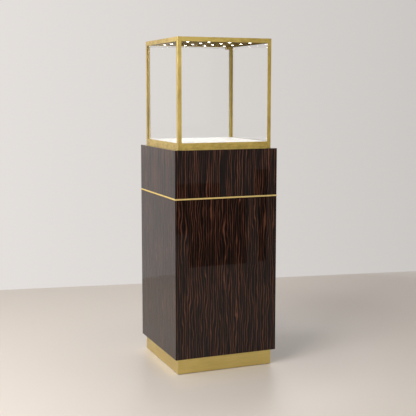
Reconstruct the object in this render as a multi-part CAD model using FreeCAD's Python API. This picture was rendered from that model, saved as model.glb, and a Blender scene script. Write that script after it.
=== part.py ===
import FreeCAD, Part
import math
import os

V = FreeCAD.Vector

# Millimetres. The front faces -Y, the service side faces +Y, the floor is z = 0 and the origin is
# the middle of the footprint.

# Overall sizes
WIDTH = 450.0
DEPTH = 450.0
PLINTH_HEIGHT = 66.0
CABINET_HEIGHT = 659.0
TRIM_HEIGHT = 6.0
BAND_HEIGHT = 194.0
VITRINE_HEIGHT = 450.0
PLINTH_SETBACK = 15.0
VITRINE_SETBACK = 20.0

# Veneered boards
PANEL = 18.0
ARRIS = 0.8
SERVICE_SETBACK = 8.0
FRONT_GAP = 3.0
BOARD_GAP = 1.0
BAND_FLOOR = 12.0

# Plinth
SKIRT_SHEET = 1.2
SKIRT_LIFT = 2.0
CORE_BOARD = 18.0
CORE_LIFT = 3.0
CORNER_BLOCK = 45.0
GLIDE_R = 14.0
GLIDE_STEM_R = 3.0
GLIDE_STEM = 12.0
LEAD_SIDE_INSET = 107.0
LEAD_REAR_INSET = 48.0
LEAD_NOTCH_R = 15.0
LEAD_NOTCH_RISE = 20.0
GLAND_R = 12.0
GLAND_BORE_R = 7.0
GLAND_FLANGE_R = 16.0
GLAND_FLANGE = 2.5
GLAND_TAIL = 4.0

# Shelf
SHELF_RISE = 296.0
SHELF_REAR_GAP = 24.0
SHELF_PIN_R = 2.5
SHELF_PIN_DEPTH = 9.0
SHELF_PIN_INSET = 60.0
SPOON_REACH = 12.0
SPOON_WIDTH = 10.0
SPOON_DROP = 8.0
SPOON_SHEET = 2.0

# Trim line
TRIM_DEPTH = 8.0
TRIM_PROUD = 1.0

# Butt hinges of the storage door
HINGE_LENGTH = 64.0
HINGE_INSET = 110.0
HINGE_KNUCKLES = 5
KNUCKLE_R = 3.0
KNUCKLE_CLEAR = 0.4
KNUCKLE_PLAY = 0.2
LEAF_GAP = 0.6
HINGE_PIN_R = 1.5
PIN_HEAD_R = 2.1
PIN_HEAD = 1.2

# Cam locks
LOCK_BEZEL_R = 12.0
LOCK_BARREL_R = 9.5
LOCK_PLUG_R = 6.5
LOCK_TANG_R = 4.0
LOCK_INSET = 32.0
LOCK_DROP = 60.0
LOCK_THROW = 7.0
LOCK_PROUD = 4.0
CAM_WIDTH = 14.0
SILL_LOCK_BEZEL_R = 7.0
SILL_LOCK_BARREL_R = 4.8
SILL_LOCK_PLUG_R = 3.6
SILL_LOCK_TANG_R = 2.2
SILL_LOCK_INSET = 45.0
SILL_CAM_WIDTH = 8.0
SILL_CAM_REACH = 15.0
BEZEL = 2.5
CAM_SHEET = 2.0
LOCK_NUT = 3.0
LOCK_NUT_WALL = 1.6
KEY_SLOT = 1.8
KEY_SLOT_DEPTH = 8.0
SLOT_CLEAR = 1.5

# Flush pulls
PULL_FLANGE_R = 18.0
PULL_CUP_R = 16.0
PULL_MOUTH_R = 12.5
PULL_DEPTH = 11.0
PULL_SHEET = 1.2
PULL_DROP = 62.0

# Drawer and its telescopic slides
DRAWER_REAR_ROOM = 62.0
DRAWER_LIFT = 8.0
DRAWER_HEIGHT = 110.0
DRAWER_BOARD = 12.0
DRAWER_BOTTOM = 6.0
DRAWER_BOTTOM_RISE = 9.0
DRAWER_GROOVE = 5.0
SLIDE_WIDTH = 12.7
SLIDE_HEIGHT = 45.0
SLIDE_WALL = 1.2
SLIDE_GAP = 0.4
SLIDE_END_GAP = 3.0

# Vitrine frame: angle section at the front and sides, tube at the service side
FRAME_WIDTH = 16.0
ANGLE_WALL = 2.0
TUBE_WALL = 1.5
TOP_RAIL_HEIGHT = 18.0
BASE_RAIL_HEIGHT = 28.0
SILL_HEIGHT = 16.0
METAL_EASE = 0.6

# Glass, display board and glass door
GLASS = 6.0
BOARD_ROUND = 2.0
BOARD_CLEAR = 0.5
DOOR_SIDE_GAP = 2.0
DOOR_END_GAP = 4.0
PIVOT_INSET = 8.0
PIVOT_R = 3.0
PIVOT_LENGTH = 11.0
CLAMP_WIDTH = 18.0
CLAMP_HEIGHT = 6.0
CLAMP_CHEEK = 2.0
CLAMP_WEB = 3.0
BUSH_WALL = 2.0
BUSH_FLANGE = 0.6
BUSH_FLANGE_R = 6.5
STRIKE_WIDTH = 36.0
STOP_WIDTH = 20.0
STOP_HEIGHT = 8.0
STOP_GAP = 0.3
GRIP_SHEET = 2.0
GRIP_REACH = 12.0
GRIP_LIP = 5.5

# Lit ceiling
CEILING_RECESS = 2.0
CEILING_SHEET = 1.2
COVER_SHEET = 1.5
LED_ROWS = 4
LED_PITCH = 92.0
LED_R = 7.0
LED_DOME = 1.6
LED_CLEAR = 0.3
LED_BOARD_WIDTH = 20.0
LED_BOARD_SHEET = 1.6
LED_BOARD_END = 30.0

# Power supply and cable
DRIVER_LENGTH = 160.0
DRIVER_DEPTH = 30.0
DRIVER_HEIGHT = 45.0
DRIVER_DROP = 40.0
DRIVER_EAR = 14.0
DRIVER_EAR_SHEET = 2.0
DRIVER_SCREW_R = 2.2
CABLE_R = 1.75
CABLE_BEND = 12.0
CABLE_TURN = 8.0
CABLE_SIDE_GAP = 0.5
CABLE_HOLE_CLEAR = 0.8
CLIP_WIDTH = 9.0
CLIP_COUNT = 3
TERMINAL_WIDTH = 6.0
TERMINAL_LENGTH = 14.0
TERMINAL_HEIGHT = 8.0

# Clearances of fits
RUNNING_FIT = 0.08
SEAT_FIT = 0.2
THREAD_FIT = 0.05

# Levels, from the floor up
cabinet_z = PLINTH_HEIGHT
cabinet_floor_z = cabinet_z + PANEL
trim_z = cabinet_z + CABINET_HEIGHT
band_z = trim_z + TRIM_HEIGHT
deck_z = band_z + BAND_HEIGHT
ceiling_of_band_z = deck_z - PANEL
board_top_z = deck_z + BASE_RAIL_HEIGHT
sill_z = deck_z + SILL_HEIGHT
crown_z = deck_z + VITRINE_HEIGHT
rail_z = crown_z - TOP_RAIL_HEIGHT
cover_z = crown_z - ANGLE_WALL - COVER_SHEET
pan_z = rail_z + CEILING_RECESS
pan_floor_z = pan_z + CEILING_SHEET

# Half sizes and the service side
half_w = WIDTH / 2
half_d = DEPTH / 2
inner_w = half_w - PANEL
inner_d = half_d - PANEL
service_y = half_d - SERVICE_SETBACK
service_inner_y = service_y - PANEL
board_rear_y = service_inner_y - BOARD_GAP
front_edge_x = inner_w - FRONT_GAP
lock_end_y = service_inner_y - LOCK_PROUD
cam_y = lock_end_y - RUNNING_FIT - CAM_SHEET
lock_reach = LOCK_INSET + FRONT_GAP + LOCK_THROW
lead_x = inner_w - LEAD_SIDE_INSET
lead_y = board_rear_y - LEAD_REAR_INSET

# Vitrine lines
frame_w = half_w - VITRINE_SETBACK
frame_d = half_d - VITRINE_SETBACK
pane_w = frame_w - ANGLE_WALL
pane_d = frame_d - ANGLE_WALL
clear_w = pane_w - GLASS
clear_d = pane_d - GLASS
post_w = frame_w - FRAME_WIDTH
post_d = frame_d - FRAME_WIDTH
pivot_y = frame_d - FRAME_WIDTH / 2
door_w = post_w - DOOR_SIDE_GAP
door_low_z = sill_z + DOOR_END_GAP
door_high_z = rail_z - DOOR_END_GAP
pivot_x = door_w - PIVOT_INSET
clamp_y = GLASS / 2 + CLAMP_CHEEK
heel_r = math.hypot(PIVOT_INSET, clamp_y)
tray_rear_y = pivot_y - heel_r - BOARD_CLEAR
sill_lock_x = -door_w + SILL_LOCK_INSET
sill_lock_z = (deck_z + sill_z) / 2

# Cable lines
cable_x = post_w + TUBE_WALL + CABLE_R + CABLE_SIDE_GAP
cable_front_y = -inner_d + DRIVER_DEPTH / 2
cable_run_z = ceiling_of_band_z - CABLE_BEND
cable_top_z = (pan_floor_z + cover_z) / 2
cable_hole_r = CABLE_R + CABLE_HOLE_CLEAR
driver_z = trim_z - PANEL - DRIVER_DROP - DRIVER_HEIGHT
shelf_z = cabinet_floor_z + SHELF_RISE


def block(x0, x1, y0, y1, z0, z1):
    return Part.makeBox(x1 - x0, y1 - y0, z1 - z0, V(x0, y0, z0))


def eased(x0, x1, y0, y1, z0, z1, size):
    """Block with a small flat on every edge."""
    solid = block(x0, x1, y0, y1, z0, z1)
    return solid.makeChamfer(size, solid.Edges)


def drawn(loop, travel):
    return Part.Face(Part.makePolygon(loop + loop[:1])).extrude(travel)


def along_x(points, x0, x1):
    return drawn([V(x0, y, z) for y, z in points], V(x1 - x0, 0, 0))


def along_y(points, y0, y1):
    return drawn([V(x, y0, z) for x, z in points], V(0, y1 - y0, 0))


def along_z(points, z0, z1):
    return drawn([V(x, y, z0) for x, y in points], V(0, 0, z1 - z0))


def rod(radius, base, travel):
    return Part.makeCylinder(radius, travel.Length, base, travel)


def turned(points, base, axis):
    """Body of revolution through (radius, height) points, with height zero at base."""
    loop = [V(r, 0, h) for r, h in points]
    solid = Part.Face(Part.makePolygon(loop + loop[:1])).revolve(V(), V(0, 0, 1), 360)
    solid.Placement = FreeCAD.Placement(base, FreeCAD.Rotation(V(0, 0, 1), axis))
    return solid


def mirrored(shape):
    return shape.mirror(V(), V(1, 0, 0))


def moved(shape, x, y, z):
    copy = shape.copy()
    copy.translate(V(x, y, z))
    return copy


def joined(first, *others):
    return first.multiFuse(list(others)).removeSplitter()


def mitred_ring(outer_w, outer_d, wall):
    """Outlines of four boards round a rectangle, cut at 45 degrees: front, rear, left, right."""
    in_w = outer_w - wall
    in_d = outer_d - wall
    front = [(-outer_w, -outer_d), (outer_w, -outer_d), (in_w, -in_d), (-in_w, -in_d)]
    left = [(-outer_w, -outer_d), (-in_w, -in_d), (-in_w, in_d), (-outer_w, outer_d)]
    rear = [(x, -y) for x, y in front]
    right = [(-x, y) for x, y in left]
    return front, rear, left, right


def plinth():
    """Brushed skirt round a board core with corner blocks, standing on glides."""
    skirt_w = half_w - PLINTH_SETBACK
    skirt_d = half_d - PLINTH_SETBACK
    core_w = skirt_w - SKIRT_SHEET
    core_d = skirt_d - SKIRT_SHEET
    notch = block(lead_x - LEAD_NOTCH_R, lead_x + LEAD_NOTCH_R, 0, half_d, 0, LEAD_NOTCH_RISE)
    notch = notch.fuse(rod(LEAD_NOTCH_R, V(lead_x, 0, LEAD_NOTCH_RISE), V(0, half_d, 0)))
    outlines = mitred_ring(skirt_w, skirt_d, SKIRT_SHEET)
    skirt = [along_z(outline, SKIRT_LIFT, cabinet_z).cut(notch) for outline in outlines]
    board_d = core_d - CORE_BOARD
    core = [
        block(-core_w, core_w, -core_d, -board_d, CORE_LIFT, cabinet_z),
        block(-core_w, core_w, board_d, core_d, CORE_LIFT, cabinet_z).cut(notch),
        block(-core_w, CORE_BOARD - core_w, -board_d, board_d, CORE_LIFT, cabinet_z),
        block(core_w - CORE_BOARD, core_w, -board_d, board_d, CORE_LIFT, cabinet_z),
    ]
    glide_profile = [
        (0, 0),
        (GLIDE_R - 1, 0),
        (GLIDE_R, 1),
        (GLIDE_R, CORE_LIFT),
        (GLIDE_STEM_R, CORE_LIFT),
        (GLIDE_STEM_R, CORE_LIFT + GLIDE_STEM),
        (0, CORE_LIFT + GLIDE_STEM),
    ]
    glides = []
    for side in (-1, 1):
        for end in (-1, 1):
            x = side * (core_w - CORE_BOARD - CORNER_BLOCK / 2)
            y = end * (board_d - CORNER_BLOCK / 2)
            reach = CORNER_BLOCK / 2
            corner = block(x - reach, x + reach, y - reach, y + reach, CORE_LIFT, cabinet_z)
            hole = rod(GLIDE_STEM_R + SEAT_FIT, V(x, y, 0), V(0, 0, CORE_LIFT + GLIDE_STEM + SEAT_FIT))
            core.append(corner.cut(hole))
            glides.append(turned(glide_profile, V(x, y, 0), V(0, 0, 1)))
    return {"plinth_skirt": skirt, "plinth_core": core, "floor_glides": glides}


def cabinet_box():
    """Lower cabinet: three mitred panels, bottom, top, and a shelf on pins."""
    envelope = eased(-half_w, half_w, -half_d, half_d, cabinet_z, trim_z, ARRIS)
    front, _, left, _ = mitred_ring(half_w, half_d, PANEL)
    left = left[:2] + [(-inner_w, half_d), (-half_w, half_d)]
    front_panel = along_z(front, cabinet_z, trim_z).common(envelope)
    left_panel = along_z(left, cabinet_z, trim_z).common(envelope)
    pin_rows = (SHELF_PIN_INSET - inner_d, board_rear_y - SHELF_REAR_GAP - SHELF_PIN_INSET)
    pin_z = shelf_z - SPOON_DROP / 2 - SPOON_SHEET / 2
    pins = []
    for y in pin_rows:
        hole_depth = SHELF_PIN_DEPTH + SEAT_FIT
        hole = rod(SHELF_PIN_R + SEAT_FIT / 2, V(-inner_w - hole_depth, y, pin_z), V(hole_depth, 0, 0))
        left_panel = left_panel.cut(hole)
        spoon = along_y(
            [
                (-inner_w, shelf_z - SPOON_DROP),
                (-inner_w + SPOON_SHEET, shelf_z - SPOON_DROP),
                (-inner_w + SPOON_SHEET, shelf_z - SPOON_SHEET),
                (-inner_w + SPOON_REACH, shelf_z - SPOON_SHEET),
                (-inner_w + SPOON_REACH, shelf_z),
                (-inner_w, shelf_z),
            ],
            y - SPOON_WIDTH / 2,
            y + SPOON_WIDTH / 2,
        )
        spigot = rod(SHELF_PIN_R, V(-inner_w - SHELF_PIN_DEPTH, y, pin_z), V(SHELF_PIN_DEPTH, 0, 0))
        pin = joined(spoon, spigot)
        pins += [pin, mirrored(pin)]
    right_panel = mirrored(left_panel)
    left_panel = left_panel.cut(storage_cam_slot())
    lead_hole = rod(GLAND_R + SEAT_FIT, V(lead_x, lead_y, cabinet_z), V(0, 0, PANEL))
    floor = block(-inner_w, inner_w, -inner_d, board_rear_y, cabinet_z, cabinet_floor_z).cut(lead_hole)
    top = block(-inner_w, inner_w, -inner_d, board_rear_y, trim_z - PANEL, trim_z).cut(riser_hole())
    gland = turned(
        [
            (GLAND_BORE_R, -PANEL - GLAND_TAIL),
            (GLAND_R - 1, -PANEL - GLAND_TAIL),
            (GLAND_R, -PANEL),
            (GLAND_R, 0),
            (GLAND_FLANGE_R, 0),
            (GLAND_FLANGE_R - 1, GLAND_FLANGE),
            (GLAND_BORE_R, GLAND_FLANGE),
        ],
        V(lead_x, lead_y, cabinet_floor_z),
        V(0, 0, 1),
    )
    shelf_w = inner_w - BOARD_GAP
    shelf = eased(
        -shelf_w, shelf_w, BOARD_GAP - inner_d, board_rear_y - SHELF_REAR_GAP,
        shelf_z, shelf_z + PANEL, ARRIS,
    )
    return {
        "cabinet_front_panel": [front_panel],
        "cabinet_left_panel": [left_panel],
        "cabinet_right_panel": [right_panel],
        "cabinet_bottom": [floor],
        "cabinet_top": [top],
        "cable_gland": [gland],
        "storage_shelf": [shelf],
        "shelf_pins": pins,
    }


def riser_hole():
    """Hole for the cable where it climbs from the storage space to the top of the band."""
    return rod(cable_hole_r, V(cable_x, cable_front_y, trim_z - PANEL), V(0, 0, PANEL + BAND_HEIGHT / 2))


def hex_nut(x, y, z, barrel_r, thickness):
    """Hexagon nut on an axis along Y, from y towards the front."""
    across = (barrel_r + LOCK_NUT_WALL) / math.cos(math.pi / 6)
    corners = [math.radians(60 * i) for i in range(6)]
    outline = [(x + across * math.cos(a), z + across * math.sin(a)) for a in corners]
    bore = rod(barrel_r + THREAD_FIT, V(x, y, z), V(0, -thickness, 0))
    return along_y(outline, y - thickness, y).cut(bore)


def cam_lock(x, z, face_y, nut_y, end_y, radii, reach, width, turn):
    """Cam lock on an axis along Y.

    It is fitted between face_y and nut_y, and its barrel ends at end_y. The cam points down
    and is then turned about +Y. The fixed pieces and the turning pieces are returned apart.
    """
    bezel_r, barrel_r, plug_r, tang_r = radii
    bore_r = plug_r + RUNNING_FIT
    body = turned(
        [
            (bore_r, end_y - face_y),
            (barrel_r, end_y - face_y),
            (barrel_r, 0),
            (bezel_r, 0),
            (bezel_r, BEZEL / 2),
            (bezel_r - BEZEL / 2, BEZEL),
            (bore_r, BEZEL),
        ],
        V(x, face_y, z),
        V(0, 1, 0),
    )
    nut = hex_nut(x, nut_y, z, barrel_r, LOCK_NUT)
    shoulder_y = end_y - RUNNING_FIT
    tang = CAM_SHEET + LOCK_NUT + 1
    plug = turned(
        [
            (0, -tang),
            (tang_r, -tang),
            (tang_r, 0),
            (plug_r, 0),
            (plug_r, face_y + BEZEL - SEAT_FIT - shoulder_y),
            (0, face_y + BEZEL - SEAT_FIT - shoulder_y),
        ],
        V(x, shoulder_y, z),
        V(0, 1, 0),
    )
    slot_y = face_y + BEZEL - KEY_SLOT_DEPTH
    slot_z = plug_r * 0.6
    plug = plug.cut(block(x - KEY_SLOT / 2, x + KEY_SLOT / 2, slot_y, face_y + BEZEL, z - slot_z, z + slot_z))
    cam_nut = hex_nut(x, shoulder_y - CAM_SHEET, z, tang_r, LOCK_NUT)
    tip_z = z - reach + width / 2
    sheet = V(0, -CAM_SHEET, 0)
    cam = joined(
        block(x - width / 2, x + width / 2, shoulder_y - CAM_SHEET, shoulder_y, tip_z, z),
        rod(width / 2, V(x, shoulder_y, z), sheet),
        rod(width / 2, V(x, shoulder_y, tip_z), sheet),
    ).cut(rod(tang_r + THREAD_FIT, V(x, shoulder_y, z), sheet))
    cam.rotate(V(x, 0, z), V(0, 1, 0), turn)
    return [body, nut], [plug, cam, cam_nut]


def half_chord(reach, distance):
    """How far to each side a cam of this reach crosses a line at this distance from its axis."""
    return math.sqrt(reach ** 2 - distance ** 2)


lock_radii = (LOCK_BEZEL_R, LOCK_BARREL_R, LOCK_PLUG_R, LOCK_TANG_R)
storage_lock_x = -front_edge_x + LOCK_INSET
storage_lock_z = trim_z - FRONT_GAP - LOCK_DROP
drawer_lock_z = ceiling_of_band_z - FRONT_GAP - LOCK_INSET
lock_swing = half_chord(lock_reach, LOCK_INSET + FRONT_GAP) + SLOT_CLEAR
lock_depth = LOCK_THROW + SLOT_CLEAR


def storage_cam_slot():
    """Mortise in the left panel that takes the storage door's cam."""
    return block(
        -inner_w - lock_depth, -inner_w,
        cam_y - SLOT_CLEAR, cam_y + CAM_SHEET + SLOT_CLEAR,
        storage_lock_z - lock_swing, storage_lock_z + CAM_WIDTH / 2 + SLOT_CLEAR,
    )


def drawer_cam_slot():
    """Mortise in the top board that takes the drawer's cam."""
    return block(
        -lock_swing, CAM_WIDTH / 2 + SLOT_CLEAR,
        cam_y - SLOT_CLEAR, cam_y + CAM_SHEET + SLOT_CLEAR,
        ceiling_of_band_z, ceiling_of_band_z + lock_depth,
    )


def service_front(z0, z1, lock_x, lock_z, pull_x, pull_z):
    """Inset front of the service side with its lock hole and the seat of its flush pull."""
    front = eased(-front_edge_x, front_edge_x, service_inner_y, service_y, z0, z1, ARRIS)
    lock_hole = rod(LOCK_BARREL_R + SEAT_FIT, V(lock_x, service_y, lock_z), V(0, -PANEL, 0))
    pull_seat = rod(PULL_CUP_R + SEAT_FIT, V(pull_x, service_y, pull_z), V(0, -PULL_DEPTH - SEAT_FIT, 0))
    return front.cut(lock_hole).cut(pull_seat)


def flush_pull(x, z):
    """Round cup with an overhanging mouth to hook a finger under."""
    cup_r = PULL_CUP_R - PULL_SHEET
    return turned(
        [
            (0, -PULL_DEPTH),
            (PULL_CUP_R, -PULL_DEPTH),
            (PULL_CUP_R, 0),
            (PULL_FLANGE_R, 0),
            (PULL_FLANGE_R - PULL_SHEET / 2, PULL_SHEET),
            (PULL_MOUTH_R, PULL_SHEET),
            (PULL_MOUTH_R, 0),
            (cup_r, -PULL_SHEET),
            (cup_r, PULL_SHEET - PULL_DEPTH),
            (0, PULL_SHEET - PULL_DEPTH),
        ],
        V(x, service_y, z),
        V(0, 1, 0),
    )


def storage_hinge(low_z):
    """Butt hinge: leaf on the right panel, leaf on the door's edge, and the pin."""
    x = inner_w - KNUCKLE_R - KNUCKLE_CLEAR
    y = service_y + KNUCKLE_R + KNUCKLE_CLEAR
    high_z = low_z + HINGE_LENGTH
    leaf = (FRONT_GAP - LEAF_GAP) / 2
    fixed = block(inner_w - leaf, inner_w, service_inner_y, y, low_z, high_z)
    swinging = block(front_edge_x, front_edge_x + leaf, service_inner_y, y - HINGE_PIN_R, low_z, high_z)
    knuckle = HINGE_LENGTH / HINGE_KNUCKLES
    for i in range(HINGE_KNUCKLES):
        base = V(x, y, low_z + i * knuckle)
        barrel = rod(KNUCKLE_R, base + V(0, 0, KNUCKLE_PLAY), V(0, 0, knuckle - 2 * KNUCKLE_PLAY))
        room = rod(KNUCKLE_R + KNUCKLE_CLEAR, base, V(0, 0, knuckle))
        if i % 2 == 0:
            fixed = joined(fixed, barrel)
            swinging = swinging.cut(room)
        else:
            swinging = joined(swinging, barrel)
            fixed = fixed.cut(room)
    bore = rod(HINGE_PIN_R + RUNNING_FIT, V(x, y, low_z), V(0, 0, HINGE_LENGTH))
    ends = (KNUCKLE_PLAY, HINGE_LENGTH - KNUCKLE_PLAY)
    pin = turned(
        [
            (0, ends[0] - PIN_HEAD),
            (PIN_HEAD_R, ends[0] - PIN_HEAD),
            (PIN_HEAD_R, ends[0]),
            (HINGE_PIN_R, ends[0]),
            (HINGE_PIN_R, ends[1]),
            (PIN_HEAD_R, ends[1]),
            (PIN_HEAD_R, ends[1] + PIN_HEAD),
            (0, ends[1] + PIN_HEAD),
        ],
        V(x, y, low_z),
        V(0, 0, 1),
    )
    return fixed.cut(bore), swinging.cut(bore), pin


def storage_door():
    low_z = cabinet_z + FRONT_GAP
    high_z = trim_z - FRONT_GAP
    pull_z = storage_lock_z - PULL_DROP
    body, plug = cam_lock(
        storage_lock_x, storage_lock_z, service_y, service_inner_y, lock_end_y,
        lock_radii, lock_reach, CAM_WIDTH, 0,
    )
    levels = (low_z + HINGE_INSET - HINGE_LENGTH / 2, high_z - HINGE_INSET - HINGE_LENGTH / 2)
    fixed, swinging, pins = zip(*[storage_hinge(z) for z in levels])
    return {
        "storage_door": [
            service_front(low_z, high_z, storage_lock_x, storage_lock_z, storage_lock_x, pull_z)
        ],
        "storage_pull": [flush_pull(storage_lock_x, pull_z)],
        "storage_lock_body": body,
        "storage_lock_plug": plug,
        "storage_hinge_frame_leaves": list(fixed),
        "storage_hinge_door_leaves": list(swinging),
        "storage_hinge_pins": list(pins),
    }


def trim_line():
    """Spacer board between cabinet and band, edged with four domed strips mitred at the corners."""
    core_w = half_w - TRIM_DEPTH
    core_d = half_d - TRIM_DEPTH
    spacer = block(-core_w, core_w, -core_d, core_d, trim_z, band_z).cut(riser_hole())
    mid_z = (trim_z + band_z) / 2
    face = [
        Part.makeLine(V(0, core_d, band_z), V(0, core_d, trim_z)),
        Part.makeLine(V(0, core_d, trim_z), V(0, half_d, trim_z)),
        Part.Arc(V(0, half_d, trim_z), V(0, half_d + TRIM_PROUD, mid_z), V(0, half_d, band_z)).toShape(),
        Part.makeLine(V(0, half_d, band_z), V(0, core_d, band_z)),
    ]
    section = Part.Face(Part.Wire(face))
    reach = half_w + half_d
    straight = section.extrude(V(2 * reach, 0, 0))
    straight.translate(V(-reach, 0, 0))
    sideways = straight.copy()
    sideways.translate(V(0, half_w - half_d, 0))
    sideways.rotate(V(), V(0, 0, 1), 90)
    outlines = mitred_ring(half_w + TRIM_DEPTH, half_d + TRIM_DEPTH, 2 * TRIM_DEPTH)
    bars = (straight.mirror(V(), V(0, 1, 0)), straight, sideways, mirrored(sideways))
    strips = [bar.common(along_z(cut, trim_z, band_z)) for bar, cut in zip(bars, outlines)]
    return {"trim_spacer": [spacer], "trim_strips": strips}


def band_box():
    """Upper band: front, side and top boards mitred together, and a floor under the drawer."""
    envelope = eased(-half_w, half_w, -half_d, half_d, band_z, deck_z, ARRIS)
    front, _, left, _ = mitred_ring(half_w, half_d, PANEL)
    left = left[:2] + [(-inner_w, half_d), (-half_w, half_d)]
    side_profile = [(-half_w, band_z), (-inner_w, band_z), (-inner_w, ceiling_of_band_z), (-half_w, deck_z)]
    front_profile = [(-half_d, band_z), (-inner_d, band_z), (-inner_d, ceiling_of_band_z), (-half_d, deck_z)]
    front_panel = along_z(front, band_z, deck_z).common(along_x(front_profile, -half_w, half_w))
    left_panel = along_z(left, band_z, deck_z).common(along_y(side_profile, -half_d, half_d))
    left_panel = left_panel.common(envelope)
    across = along_y(
        [(-half_w, deck_z), (half_w, deck_z), (inner_w, ceiling_of_band_z), (-inner_w, ceiling_of_band_z)],
        -half_d,
        half_d,
    )
    lengthwise = along_x(
        [(-half_d, deck_z), (half_d, deck_z), (half_d, ceiling_of_band_z), (-inner_d, ceiling_of_band_z)],
        -half_w,
        half_w,
    )
    post_hole = rod(cable_hole_r, V(cable_x, pivot_y, ceiling_of_band_z), V(0, 0, PANEL))
    top = across.common(lengthwise).common(envelope).cut(post_hole).cut(drawer_cam_slot())
    floor = block(-inner_w, inner_w, -inner_d, board_rear_y, band_z, band_z + BAND_FLOOR)
    return {
        "band_front_panel": [front_panel.common(envelope)],
        "band_left_panel": [left_panel],
        "band_right_panel": [mirrored(left_panel)],
        "band_top": [top],
        "band_floor": [floor.cut(riser_hole())],
    }


def slide_section(web_x, lip_x, reach):
    """Channel profile of one slide member: web at web_x, flanges reaching to lip_x."""
    wall = SLIDE_WALL if lip_x > web_x else -SLIDE_WALL
    return [
        (web_x, -reach),
        (lip_x, -reach),
        (lip_x, SLIDE_WALL - reach),
        (web_x + wall, SLIDE_WALL - reach),
        (web_x + wall, reach - SLIDE_WALL),
        (lip_x, reach - SLIDE_WALL),
        (lip_x, reach),
        (web_x, reach),
    ]


def drawer():
    """Drawer on telescopic slides, with a cam lock that throws up into the top board."""
    low_z = band_z + FRONT_GAP
    high_z = ceiling_of_band_z - FRONT_GAP
    pull_z = drawer_lock_z - PULL_DROP
    body, plug = cam_lock(
        0, drawer_lock_z, service_y, service_inner_y, lock_end_y, lock_radii, lock_reach, CAM_WIDTH, 90
    )
    box_w = inner_w - SLIDE_WIDTH
    box_y = DRAWER_REAR_ROOM - inner_d
    box_z = band_z + BAND_FLOOR + DRAWER_LIFT
    rim_z = box_z + DRAWER_HEIGHT
    bottom_z = box_z + DRAWER_BOTTOM_RISE
    bottom_w = box_w - DRAWER_BOARD + DRAWER_GROOVE
    floor_z = bottom_z + DRAWER_BOTTOM
    groove = block(
        -bottom_w - SEAT_FIT, bottom_w + SEAT_FIT, box_y, service_inner_y,
        bottom_z - SEAT_FIT / 2, floor_z,
    )
    left_side = block(-box_w, DRAWER_BOARD - box_w, box_y, service_inner_y, box_z, rim_z).cut(groove)
    in_w = box_w - DRAWER_BOARD
    back = block(-in_w, in_w, box_y, box_y + DRAWER_BOARD, floor_z, rim_z)
    bottom = block(-bottom_w, bottom_w, box_y, service_inner_y, bottom_z, floor_z)

    mid_z = (box_z + rim_z) / 2
    step = SLIDE_WALL + SLIDE_GAP
    reach = SLIDE_HEIGHT / 2
    lip_x = box_w + step
    sections = {
        "slide_outer_members": slide_section(inner_w, lip_x, reach),
        "slide_middle_members": slide_section(inner_w - step, lip_x, reach - step),
        "slide_inner_members": slide_section(box_w, inner_w - 2 * step, reach - 2 * step),
    }
    nodes = {
        "drawer_front": [service_front(low_z, high_z, 0, drawer_lock_z, 0, pull_z)],
        "drawer_pull": [flush_pull(0, pull_z)],
        "drawer_lock_body": body,
        "drawer_lock_plug": plug,
        "drawer_box": [left_side, mirrored(left_side), back],
        "drawer_bottom": [bottom],
    }
    for name, section in sections.items():
        profile = [(x, mid_z + z) for x, z in section]
        right = along_y(profile, box_y, service_inner_y - SLIDE_END_GAP)
        nodes[name] = [mirrored(right), right]
    return nodes


def angle_ring(wall_z0, wall_z1, flange_z0, flange_z1):
    """Front, left and right rails of angle section, with flanges mitred at the front corners."""
    front_flange = [(-pane_w, -pane_d), (pane_w, -pane_d), (post_w, -post_d), (-post_w, -post_d)]
    left_flange = [(-pane_w, -pane_d), (-post_w, -post_d), (-post_w, post_d), (-pane_w, post_d)]
    front = joined(
        block(-post_w, post_w, -frame_d, -pane_d, wall_z0, wall_z1),
        along_z(front_flange, flange_z0, flange_z1),
    )
    left = joined(
        block(-frame_w, -pane_w, -post_d, post_d, wall_z0, wall_z1),
        along_z(left_flange, flange_z0, flange_z1),
    )
    return [front, left, mirrored(left)]


def tube_rail(z0, z1, hole_side_z):
    """Rear rail of rectangular tube with a hole for the pivot bush in one wall."""
    rail = block(-post_w, post_w, post_d, frame_d, z0, z1)
    hollow = block(
        -post_w, post_w, post_d + TUBE_WALL, frame_d - TUBE_WALL, z0 + TUBE_WALL, z1 - TUBE_WALL
    )
    wall_z = hole_side_z - TUBE_WALL
    bush_hole = rod(PIVOT_R + BUSH_WALL + SEAT_FIT, V(pivot_x, pivot_y, wall_z), V(0, 0, 2 * TUBE_WALL))
    return rail.cut(hollow).cut(bush_hole)


def vitrine_frame():
    """Posts and rails: angles at the front and sides, tubes round the glass door."""
    envelope = eased(-frame_w, frame_w, -frame_d, frame_d, deck_z, crown_z, METAL_EASE)
    corner = [
        (-frame_w, -frame_d),
        (-post_w, -frame_d),
        (-post_w, -pane_d),
        (-pane_w, -pane_d),
        (-pane_w, -post_d),
        (-frame_w, -post_d),
    ]
    front_post = along_z(corner, deck_z, crown_z).common(envelope)
    rear_post = block(-frame_w, -post_w, post_d, frame_d, deck_z, crown_z).common(envelope)
    rear_post = rear_post.cut(
        block(
            TUBE_WALL - frame_w, -post_w - TUBE_WALL, post_d + TUBE_WALL, frame_d - TUBE_WALL,
            deck_z, crown_z - TUBE_WALL,
        )
    )
    cable_exit = rod(cable_hole_r, V(cable_x, post_d, cable_top_z), V(0, TUBE_WALL, 0))
    base_rails = angle_ring(deck_z, board_top_z, deck_z, deck_z + ANGLE_WALL)
    top_rails = [
        rail.common(envelope) for rail in angle_ring(rail_z, crown_z, crown_z - ANGLE_WALL, crown_z)
    ]
    top_rear = tube_rail(rail_z, crown_z, rail_z).common(envelope)
    return {
        "front_posts": [front_post, mirrored(front_post)],
        "rear_posts": [rear_post, mirrored(rear_post).cut(cable_exit)],
        "base_rails": base_rails,
        "rear_sill": [tube_rail(deck_z, sill_z, sill_z).cut(sill_lock_cuts())],
        "top_rails": top_rails,
        "top_rail_rear": [top_rear],
    }


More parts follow.
